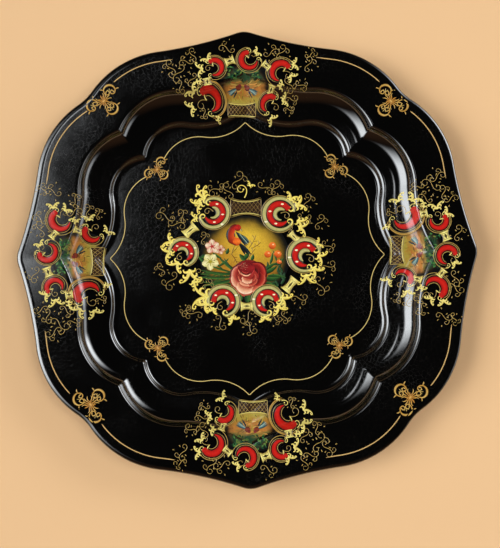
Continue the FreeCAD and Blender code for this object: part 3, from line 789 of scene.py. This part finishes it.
def evening_view(place):
    """Rim picture's ground from its outer edge in: trees, orange sky, ochre bank."""
    height = place.imag + cloudy(place, 0.2, 5.0) * 2.0 + cloudy(place, 0.6, 8.0) * 0.8
    far = np.abs(place.real / 18.5 + 1j * (place.imag - 126) / 19)
    return glazed("#A87428", (("#A8983E", (123 - height) / 5), ("#BC7A34", (height - 123) / 4),
                              ("#8E7A3A", (height - 128.5) / 2.5), ("#1E4A30", (height - 131) / 3),
                              ("#0A1C12", (height - 138) / 5), ("#3A2410", (far - 0.66) * 4),
                              ("#020202", (far - 0.8) * 7)), cloudy(place, 0.5, 11.0) * 0.25)


# How much fuller the blades of the centre are than their widths say, and how much finer and
# shorter the rim's are.
FULLER, FINER, SHORTER = 1.02, 0.74, 0.92


def centre_ground(oils):
    """Golden ground of the centre with the grass, leaves and twigs on it."""
    share = np.linspace(-0.995, 0.995, 46)
    oils.stroke(-2 - 0.5j + 1j * 32 * share, 34 * np.sqrt(1 - share ** 2), golden_sky, -1, 49, 0)
    for count, across, up, headings, bends, lengths, width, ink in (
            (26, (-30, -4), (-12, -20), (150, 215), (-30, 30), (5, 10), 0.5,
             [["#1E3A16", "#3E5E24"]]),
            (18, (14, 28), (-6, -23), (20, 120), (-40, 40), (4, 7), 1.0,
             [["#0E2410", "#24502A"]])):
        for _ in range(count):
            root = complex(chance.uniform(*across), chance.uniform(*up))
            leaf(oils, root, chance.uniform(*headings), chance.uniform(*bends),
                 chance.uniform(*lengths), width, 1, ink)
    for root, heading, bend, length, width in (
            (-11 - 13j, 178, -14, 26, 0.9), (-11 - 15j, 186, -16, 27, 1.1), (-10 - 17j, 196, -14, 24, 1.3),
            (-11 - 12j, 166, -10, 22, 0.8), (-10 - 10j, 146, -14, 15, 1.3), (-10 - 19j, 208, -20, 19, 1.6),
            (-12 - 14j, 172, 8, 20, 0.8), (-9 - 21j, 222, -14, 12, 2.0), (-11 - 11j, 128, -10, 12, 1.0),
            (-3 - 2j, 40, 25, 7, 1.8), (-1 - 3j, 145, -25, 7, 1.9), (3 - 3j, 60, 30, 5, 1.4),
            (12 - 17j, -6, 24, 13, 1.9), (12 - 13j, 18, 24, 12, 1.7), (13 - 20j, -28, 14, 11, 2.0),
            (14 - 10j, 40, -20, 9, 1.4), (17 - 6j, 66, 24, 9, 1.1), (15 - 15j, 4, -24, 14, 1.3),
            (-8 - 27j, -60, -30, 8, 2.2), (0 - 27j, -100, 20, 9, 2.4), (7 - 27j, -70, 20, 8, 2.2),
            (3 - 27j, -85, -20, 9, 1.8), (-26 - 1j, -60, 30, 12, 0.8), (-26 + 3j, -40, 20, 8, 1.0),
            (-31 + 2j, 200, 30, 6, 1.2), (22 - 4j, 100, 20, 9, 0.8), (22 - 7j, 30, 40, 8, 1.2),
            (-22 - 7j, 24, 30, 10, 1.0), (-16 + 2j, 60, 20, 5, 1.3), (-33 - 4j, 120, 30, 7, 1.2)):
        leaf(oils, root, heading, bend, length, width)
    for root, heading, bend, length, width in (
            (-12 + 2j, -50, -20, 9, 0.4), (-13 + 4j, 150, 30, 8, 0.4), (1 + 6j, 50, 20, 12, 0.35),
            (3 + 6j, 20, 25, 9, 0.35), (-4j, 70, -25, 12, 0.35)):
        twig(oils, root, heading, bend, length, width)


def centre_flowers(oils):
    """Blossoms, berries, the rose and the bird."""
    blossom(oils, -26.5 + 8j, 5.4, 20, [["#D89A80", "#F3E2BC", "#D86A58"]], "#B02A24")
    blossom(oils, -28 - 3.5j, 6.4, 50, [["#B8A85A", "#F3E8AC", "#D8CC78"]], "#A89A2A")
    blossom(oils, -20.5 + 5.5j, 3.6, 0, [["#C87058", "#EED8AC", "#C04A3C"]], "#9A2018")
    for centre, radius in ((19 + 8j, 2.8), (15.5 + 1.5j, 2.7), (23 + 1.5j, 2.9), (24 - 4.5j, 1.9)):
        berry(oils, centre, radius)
    rose(oils, 0.5 - 14j, 14.2)
    song_bird(oils, -12 + 1.5j)


def centre_frame(oils, gold):
    """Six scrolls with their blades, links, lattice and filigree, all over the picture's ground."""
    oils.raised = gold.raised = 9
    for centre, radius, start, end in (
            (-25.5 + 34j, 12.7, 103, -149), (25.5 + 32j, 13.8, 37, 310), (-49 + 3.5j, 11.7, 157, -60),
            (44 + 0j, 13.8, 37, 275), (-19 - 34j, 12.7, 174, -66), (15 - 34.5j, 12.3, 10, 264)):
        grand_scroll(oils, gold, centre, radius, start, end)
    for root, headings, length, width in (
            (-31 + 45j, (118, 150, 185), 13, 1.7), (-34 + 42j, (196, 225), 12, 1.5),
            (-37 + 30j, (165, 190), 9, 1.2), (33 + 42j, (48, 75), 10, 1.6),
            (37 + 38j, (10, 32), 12, 1.7), (38 + 27j, (-40, -15), 11, 1.5),
            (39 + 22j, (-30, 0), 12, 1.4), (-56 + 11j, (140, 165), 11, 1.7),
            (-57 + 5j, (185, 215), 12, 1.7), (-52 - 3j, (215, 250), 12, 1.6),
            (-44 - 9j, (-95, -70), 16, 1.9), (-42 - 18j, (-50, -20), 10, 1.4),
            (52 + 8j, (10, 40), 8, 1.3), (53 + 0j, (-45, -10), 11, 1.5),
            (49 - 9j, (-60, -35), 12, 1.7), (44 - 14j, (-100, -70), 13, 1.7),
            (-29 - 30j, (165, 185), 20, 2.0), (-31 - 34j, (215, 245), 11, 1.7),
            (-26 - 38j, (235, 265), 8, 1.5), (-13 - 45j, (-75, -40), 9, 1.5),
            (24 - 31j, (-45, -20), 13, 1.8), (22 - 37j, (-80, -50), 11, 1.6),
            (12 - 45j, (-100, -60), 8, 1.5)):
        tuft(gold, root, headings, length, width * FULLER)
    for centre, bearing, length, width in (
            (-43 + 20.5j, 40, 11, 9), (35.5 + 14.5j, -45, 8, 7), (32 - 22j, 50, 12, 9),
            (-1 - 37.5j, 0, 9, 8)):
        connector(gold, oils, centre, bearing, length, width)
    trellis(gold, oils, -0.5 + 37.5j, 11.5, 4.3, 6.5)
    curl(gold, -1.5 + 45j, 60, 390, 24, 0.9, GOLD)
    tuft(gold, 2.5 + 54j, (30, 80), 6, 1.0)
    for root, heading, size, hand in (
            (-7 + 58j, 20, 6, 1), (-13.5 + 50j, 160, 5.5, -1), (-22 + 52j, 170, 5.5, 1),
            (14 + 52.5j, 10, 5.5, -1), (22 + 52j, 20, 5, 1), (-61 + 31j, 120, 6, 1),
            (-54 + 25.5j, 30, 5.5, -1), (-49 + 31j, 60, 4.5, 1), (46 + 41j, 30, 5, 1),
            (43 + 28.5j, 10, 4.5, -1), (55 + 25j, 20, 5, 1), (60.5 + 7j, 0, 4.5, -1),
            (60 - 8.5j, -20, 5, 1), (54 - 22.5j, -30, 6, -1), (38 - 32j, -40, 5, 1),
            (-57 - 17j, 200, 6, 1), (-65 - 9j, 160, 4, -1), (-40 - 42j, 200, 5.5, -1),
            (-46 - 40j, 190, 4, 1), (-21 - 49j, -110, 5, 1), (0 - 45j, -90, 5.5, -1),
            (1 - 53j, -90, 5, 1), (20 - 47j, -60, 4, 1), (27 - 46j, -30, 4, -1),
            (-33 + 14j, 40, 4, 1), (-38 - 14j, -60, 5, -1), (-31 - 21j, 0, 4, 1),
            (30 + 21j, -40, 3.5, 1)):
        sprig(gold, root, heading, size, hand)


def centre_picture(oils, gold):
    """Round picture on the floor: bird, blossoms, berries and rose in a frame of scrolls."""
    centre_ground(oils)
    centre_flowers(oils)
    centre_frame(oils, gold)


def rim_ground(oils):
    """Landscape of a rim picture, drawn for the north side: bushes, orange sky and grass."""
    share = np.linspace(-0.98, 0.98, 62)
    oils.stroke(1j * (126 + 17.5 * share), 18.5 * (1 - share ** 6) ** 0.5 + 0.2, evening_view, -1, 33,
                0)
    for count, across, up, headings, bend, lengths, width, tones in (
            (70, (-13, 12), (132, 142), (0, 360), 40, (1.5, 3), 0.6,
             ("#1E4A2A", "#2F6A34", "#15321E", "#4E7A3A", "#6A7A34", "#0E2416")),
            (24, (-12, 12), (117, 124), (60, 120), 30, (2, 4), 0.35,
             ("#8E7A28", "#B8A040", "#6A5A1E", "#A8802C")),
            (40, (-13, 8), (122, 132), (-20, 20), 30, (3, 6), 0.45,
             ("#D09648", "#B0682C", "#A07A34", "#CCA654", "#86602A", "#745020"))):
        for _ in range(count):
            root = complex(chance.uniform(*across), chance.uniform(*up))
            tone = chance.choice(tones)
            oils.comma(root, chance.uniform(*headings), bend, chance.uniform(*lengths), width,
                       tone, 1, 0.5, 3)


def rim_birds(oils):
    """Two birds that face each other with spread wings, and a stem between them."""
    for side in (-1, 1):
        breast = complex(side * 3.4 - 1.5, 128.2)
        out = 180 if side < 0 else 0
        oils.comma(breast + complex(side, -2), out - side * 62, 0, 6, 0.8, "#1C2A2E", 2)
        for step, tone in enumerate(("#3A5A5C", "#7A9C96", "#A8C0B0", "#5A7C76", "#2E463E")):
            oils.comma(breast + complex(side * (0.6 + 0.5 * step), -0.4 - 0.5 * step),
                       out - side * (14 + 7 * step), side * -16, 8.5 - step, 0.75,
                       [["#20343A", tone, "#2A4046"]], 2, 0.4)
        oils.dot(breast, 2.0, [["#2E1410", "#8E3A24", "#4A1C14"]], 3, 7)
        oils.dot(breast + complex(-side * 1.2, 1.5), 1.3, [["#4E1A1E", "#9A3A34"]], 4)
        oils.comma(breast + complex(-side * 2.2, 1.8), 180 - out, 0, 1.5, 0.35, "#D8B040", 5)
    oils.comma(-1.5 + 124j, 90, 10, 7, 0.5, "#A88A30", 1)


def rim_frame(oils, gold):
    """Five scrolls with their blades, links, lattice and filigree."""
    oils.raised = gold.raised = 3
    trellis(gold, oils, -2.5 + 112.5j, 10.5, 3.6, 5.0)
    for centre, radius, start, end, gilt in (
            (-23 + 141.5j, 8.8, 122, -103, False), (4 + 147.5j, 9.4, 105, 348, False),
            (28 + 137j, 10.8, 41, 249, False), (-28 + 118j, 11.8, 124, -66, True),
            (19.5 + 115.5j, 9.2, 60, 234, False)):
        rim_scroll(oils, gold, centre, radius, start, end, gilt)
    for root, headings, length, width in (
            (-27 + 147j, (105, 150), 9, 1.5), (-31 + 141j, (170, 215), 11, 1.6),
            (8 + 152j, (10, 50), 8, 1.4), (36 + 143j, (-15, 30), 9, 1.5),
            (34 + 135j, (-65, -25), 9, 1.4), (-38 + 123j, (115, 160), 11, 1.6),
            (-39 + 115j, (185, 235), 11, 1.6), (19 + 106j, (-65, -15), 9, 1.4),
            (28 + 118j, (-10, 35), 9, 1.5), (26 + 125j, (50,), 8, 1.3),
            (-20 + 108j, (-110,), 7, 1.3), (-32 + 131j, (170,), 8, 1.4)):
        tuft(gold, root, headings, length * SHORTER, width * FINER, PALE_GOLD)
    for centre, bearing, length, width in ((-11 + 146.5j, 20, 7, 8), (16.5 + 142.5j, -40, 6.5, 7),
                                           (-28 + 131j, 100, 5.5, 8), (20 + 125.5j, 70, 5.5, 7)):
        connector(gold, oils, centre, bearing, length, width)
    for root, heading, size, hand in (
            (-12.5 + 155.5j, 120, 5, 1), (-38.5 + 151j, 150, 4.5, -1), (-39 + 133j, 200, 4.5, 1),
            (20 + 152j, 60, 5, -1), (27.5 + 152j, 20, 5, 1), (33 + 128j, -20, 4.5, -1),
            (35 + 119j, -40, 4, 1), (42 + 127j, 10, 4, -1), (-49 + 138j, 200, 6, 1),
            (-55 + 141.5j, 160, 5, -1), (-48 + 128j, 240, 4, 1), (48 + 142.5j, 30, 5, 1),
            (50 + 150j, 60, 4, -1), (-31 + 110j, 240, 3.5, 1), (33 + 112j, -40, 3.5, 1),
            (-43 + 146j, 140, 4.5, 1)):
        sprig(gold, root, heading, size, hand)


def rim_picture(oils, gold):
    """Small landscape with two birds in a frame of scrolls."""
    rim_ground(oils)
    rim_birds(oils)
    rim_frame(oils, gold)


def line_between(curve, first, last):
    """Part of a level curve on the north side, between two places along the rim."""
    points = whole_curve(curve)
    points = points[points.imag > np.abs(points.real) * 0.999]
    points = points[np.argsort(points.real)]
    return smooth(points[(points.real >= first) & (points.real <= last)], 3)


# The rim's line lies this far in from the outer edge. It stops at the pictures, and on each side of
# a corner's spray. The sprays were set one by one: each drifts a few millimetres from its corner, round
# the ring of DRIFT_REACH.
LINE_INSET, RIM_LINE_END, PICTURE_WEST, PICTURE_EAST = 8.7, 112.5, 54.0, 49.0
SPRAY_GAP, SPRAY_INSET = 12.0, 3.0
SPRAY_DRIFT, DRIFT_REACH = (3.0, -8.0, -5.0, 7.0), 159.0
FLOOR_LINE_END, FLOOR_SPRAY_REACH = 63.5, 96.0
FLOOR_LINE_WIDTH, RIM_LINE_WIDTH, FLOOR_SPRAY_SIZE, RIM_SPRAY_SIZE = 0.64, 0.8, 0.76, 1.0
# The share of a gap along the line that is measured along the side, as it nears the diagonal.
SLANT = 0.7


def corner_spray(gold, middle, size):
    """Amber palmette on the diagonal between three C scrolls; it faces outwards along +Y."""
    for heading, length in ((90, 1.0), (64, 0.95), (116, 0.95), (38, 0.85), (142, 0.85), (12, 0.7),
                            (168, 0.7), (270, 0.8), (238, 0.75), (302, 0.75), (214, 0.6), (326, 0.6)):
        gold.comma(middle, heading, 30 if heading % 180 > 90 else -30, 5.2 * size * length,
                   0.5 * size, [["#7A4E1A", "#C48A3A", "#7A4E1A"]], 1, 0.6)
    gold.dot(middle, 1.2 * size, [["#6E4416", "#E0B060", "#8A5A20"]])
    for place, first, last in ((-8.2 + 2.8j, 205, 45), (8.2 + 2.8j, -25, 135), (0.7 - 7.8j, 195, 355)):
        hand = math.copysign(1, last - first)
        centre = middle + place * size
        bow = arc(centre, 4.7 * size, first, last, 0.06)
        gold.stroke(bow, swell(bow, 0.85 * size, 0.5, 0.35), AMBER_GOLD, 2, 5)
        for edge, side, reach in ((first, -hand, 10.5), (last, hand, 12.0)):
            tip = centre + 4.3 * size * towards(edge)
            path = sweep(tip, edge + side * 98, side * 370, reach * size, 1.5)
            gold.stroke(path, np.linspace(0.5, 0.28, len(path)) * size, AMBER_GOLD)
            gold.dot(path[-1], 0.55 * size, AMBER_GOLD, 1)
            gold.comma(tip, edge - side * 30, side * 60, 3.4 * size, 0.45 * size, AMBER_GOLD, 1, 0.55)
        way = (first + last) / 2
        for lean in (-26, 0, 26):
            gold.comma(centre + 2.2 * size * towards(way + lean * 2), way + lean + 180, lean,
                       2.6 * size, 0.3 * size, OLD_GOLD, 1, 0.4)
        stem = np.degrees(np.angle(place))
        for lean in (-34, -12, 12, 34):
            gold.comma(middle + 2.6 * size * towards(stem + lean), stem + lean / 2, 2 * lean,
                       4.2 * size, 0.4 * size, AMBER_GOLD, 1, 0.4)


def gold_lining(inner, outer):
    """Line round the floor, line along the rim in eight parts, and the corner sprays."""
    border = grown(OUTER_EDGE, -LINE_INSET)
    corner_reach = abs(eighth(border)[-1])
    for side in range(4):
        near = SPRAY_DRIFT[side]
        far = SPRAY_DRIFT[(side + 1) % 4]
        inner.turn = outer.turn = 1j ** side
        inner.line(line_between(INNER_LINE, -FLOOR_LINE_END, FLOOR_LINE_END), FLOOR_LINE_WIDTH,
                   FLOOR_LINE_GOLD)
        for first, last in ((SLANT * (SPRAY_GAP - far) - RIM_LINE_END, -PICTURE_WEST),
                            (PICTURE_EAST, RIM_LINE_END - SLANT * (SPRAY_GAP + near))):
            outer.line(line_between(border, first, last), RIM_LINE_WIDTH, LINE_GOLD)
        inner.turn = 1j ** side * towards(-45)
        outer.turn = inner.turn * np.exp(1j * near / DRIFT_REACH)
        corner_spray(outer, 1j * (corner_reach - SPRAY_INSET), RIM_SPRAY_SIZE)
        corner_spray(inner, 1j * FLOOR_SPRAY_REACH, FLOOR_SPRAY_SIZE)


# ---- paints ----------------------------------------------------------------------------------

def brushed_paint(name, roughness, coat, streak):
    """Paint whose colour is its strokes' pigment, streaked by the brush and then varnished."""
    material, tree = new_finish(name)
    place = node(tree, "TexCoord")["Object"]
    pigment = node(tree, "Attribute", attribute_name="pigment")["Color"]
    # Bristles leave streaks a little under 1 mm apart.
    streaks = node(tree, "TexNoise", {"Vector": place, "Scale": per(0.9091), "Detail": 4.0,
                                      "Distortion": 0.6})["Fac"]
    shade = node(tree, "MapRange", [streaks, 0.3, 0.7, 1 - streak, 1 + streak])["Result"]
    tint = node(tree, "VectorMath", [pigment, shade], operation="MULTIPLY")["Vector"]
    dry = node(tree, "MapRange", [streaks, 0.3, 0.7, roughness - 0.08, roughness + 0.1])["Result"]
    bump = node(tree, "Bump", {"Height": streaks, "Strength": 0.25, "Distance": 0.05 * MM})["Normal"]
    add_surface(tree, {"Base Color": tint, "Roughness": dry, "Normal": bump,
                       "Specular IOR Level": 0.2, "Coat Weight": coat, "Coat Roughness": 0.08})
    return material


# ---- camera, table and light -----------------------------------------------------------------

BACKDROP = "#EBC090"
# Distances in metres between which the table's paint turns from lit to its plain colour.
PAINT_FADES = (0.7, 2.4)
TABLE_REACH, TABLE_BEND, WALL_TOP = 6000.0, 300.0, 680.0
TABLE_GAP = 0.2
AIM_X, AIM_Y = 0.85, -13.2
CAMERA_DISTANCE, CAMERA_TILT, CAMERA_ROLL = 620.0, 5.6, -0.9
LENS = 53.9
# Fill lamp: degrees over the table, then metres, then how bright its face is.
FILL_ANGLE, FILL_DISTANCE, FILL_WIDTH, FILL_HEIGHT, FILL_STRENGTH = 62, 4.0, 3.0, 2.2, 3.6


def add_camera():
    """Camera over the tray, leaning a little towards -Y, for a view almost square on."""
    camera = bpy.data.objects.new("camera", bpy.data.cameras.new("camera"))
    bpy.context.scene.collection.objects.link(camera)
    lean = math.radians(CAMERA_TILT)
    camera.location = [AIM_X * MM, (AIM_Y - CAMERA_DISTANCE * math.sin(lean)) * MM,
                       CAMERA_DISTANCE * math.cos(lean) * MM]
    camera.rotation_euler = (lean, 0.0, math.radians(CAMERA_ROLL))
    camera.data.lens = LENS
    camera.data.sensor_width = 36.0
    camera.data.clip_start = 0.01
    bpy.context.scene.camera = camera


def add_table():
    """Plain pale table that bends up into a low round wall, far outside the view of the tray."""
    sides = 96
    around = towards(np.arange(sides) * 360 / sides)
    bend = np.radians(np.linspace(0, 90, 9))
    reaches = [300.0, 900.0, 2400.0, 5000.0, *(TABLE_REACH - TABLE_BEND * (1 - np.sin(bend))),
               TABLE_REACH]
    heights = [0.0, 0.0, 0.0, 0.0, *(TABLE_BEND * (1 - np.cos(bend))), WALL_TOP]
    points = np.concatenate([np.column_stack([reach * around.real, reach * around.imag,
                                              np.full(sides, height)])
                             for reach, height in zip(reaches, heights)])
    faces = [list(range(sides))]
    for row in range(len(reaches) - 1):
        for side in range(sides):
            here, there = row * sides + side, row * sides + (side + 1) % sides
            faces.append([here, here + sides, there + sides, there])
    table = add_mesh("table", points, faces, backdrop_paint())
    table.location.z = -TABLE_GAP * MM


def add_fill_lamp():
    """Wide soft lamp high over the +X side, hidden from gloss so that it shows in no highlight."""
    lamp = bpy.data.lights.new("right_fill", "AREA")
    lamp.shape = "ELLIPSE"
    lamp.size = FILL_WIDTH
    lamp.size_y = FILL_HEIGHT
    lamp.energy = FILL_STRENGTH * FILL_WIDTH * FILL_HEIGHT * math.pi ** 2 / 4
    obj = bpy.data.objects.new("right_fill", lamp)
    up = math.radians(FILL_ANGLE)
    out = Vector((math.cos(up), 0.0, math.sin(up)))
    obj.location = out * FILL_DISTANCE
    obj.rotation_euler = out.to_track_quat("Z", "Y").to_euler()
    obj.visible_glossy = False
    bpy.context.scene.collection.objects.link(obj)


def soft_band(tree, value, middle, full, none, strength=1.0):
    """Strength near a middle value that fades smoothly between two distances from it."""
    offset = node(tree, "Math", [value, middle], operation="SUBTRACT")["Value"]
    apart = node(tree, "Math", [offset], operation="ABSOLUTE")["Value"]
    return node(tree, "MapRange", [apart, full, none, strength, 0.0],
                interpolation_type="SMOOTHSTEP")["Result"]


def add_world():
    """Dark room with soft windows and a warm wall, each over its own range of directions."""
    world = bpy.data.worlds.new("studio")
    world.use_nodes = True
    bpy.context.scene.world = world
    tree = world.node_tree
    tree.nodes.clear()
    look = node(tree, "TexCoord")["Generated"]
    x, y, z = node(tree, "SeparateXYZ", [look])
    # Each window is a band in z or x crossed with a band in y. A row gives the first band's axis,
    # middle, and half widths where it is full and where it ends, then the same three for y, the
    # strength and the side of the room.
    left, right = "LESS_THAN", "GREATER_THAN"
    windows = (
        # Left window, 32 degrees up, and the glow of the ceiling above it.
        (z, 0.53, 0.17, 0.29, 0.0, 0.10, 0.62, 8.6, left),
        (x, -0.22, 0.02, 0.07, 0.25, 0.06, 0.20, 4.2, left),
        # Right window, 18 degrees up, and its bright pane towards +Y.
        (z, 0.31, 0.03, 0.16, 0.0, 0.25, 0.60, 3.2, right),
        (z, 0.35, 0.04, 0.23, 0.48, 0.08, 0.34, 9.0, right))
    day = 0.0
    for axis, middle, full, none, y_middle, y_full, y_none, strength, side in windows:
        facing = node(tree, "Math", [x, 0.0], operation=side)["Value"]
        pane = node(tree, "Math", [soft_band(tree, axis, middle, full, none, strength),
                                   soft_band(tree, y, y_middle, y_full, y_none)],
                    operation="MULTIPLY")["Value"]
        day = node(tree, "Math", [pane, facing, day], operation="MULTIPLY_ADD")["Value"]
    # The warm wall is on the -Y side and brightens away from the middle of the room.
    wall = node(tree, "MapRange", [y, -0.45, -0.9, 0.0, 0.26],
                interpolation_type="SMOOTHSTEP")["Result"]
    total = (0.012, 0.011, 0.01)
    for colour, amount in (("#E8ECEF", day), ("#C88A5C", wall)):
        light = node(tree, "VectorMath", {0: linear(colour)[:3], "Scale": amount},
                     operation="SCALE")["Vector"]
        total = node(tree, "VectorMath", [light, total])["Vector"]
    node(tree, "OutputWorld", {"Surface": node(tree, "Background", [total])["Background"]})


def main():
    """Build every piece, then the table, the light and the camera."""
    bpy.context.scene.view_settings.view_transform = "Standard"
    lacquer = dish("black_lacquer_face", COAT, 0.0, COAT_STATIONS, polished_lacquer())
    pan = dish("pressed_steel_pan", 0.0, -SHEET, len(STATIONS), back_enamel())
    for skin, covered, slot in ((lacquer, "face_lacquer", "black_lacquer"),
                                (pan, "tray_pan", "back_enamel")):
        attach(skin, "root")
        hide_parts(covered)
    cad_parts["rim_wire"].material_slots[0].material = drawn_steel()
    surface = skin_tree(lacquer)
    oil_paint = brushed_paint("varnished_oil_paint", 0.5, 0.9, 0.14)
    gold_paint = brushed_paint("varnished_bronze_gold", 0.42, 0.6, 0.08)

    def lay(oils, gold, name, covered):
        """Make one picture's two skins, the oils in place of a film of paint."""
        oils.piece(name + "_picture_oils", surface, oil_paint, "picture_paint", [covered])
        gold.piece(name + "_scroll_gold", surface, gold_paint, "gold_paint")

    oils, gold = PaintSkin(), PaintSkin()
    centre_picture(oils, gold)
    lay(oils, gold, "centre", "centre_medallion")
    for number, side in enumerate(("north", "west", "south", "east")):
        oils, gold = PaintSkin(1j ** number), PaintSkin(1j ** number)
        rim_picture(oils, gold)
        lay(oils, gold, side, "rim_medallion_" + side)
    inner, outer = PaintSkin(), PaintSkin()
    gold_lining(inner, outer)
    inner.piece("floor_line_gold", surface, gold_paint, "gold_paint", ["inner_gold_line"])
    outer.piece("rim_line_gold", surface, gold_paint, "gold_paint", ["outer_gold_line"])
    add_table()
    add_fill_lamp()
    add_world()
    add_camera()


main()
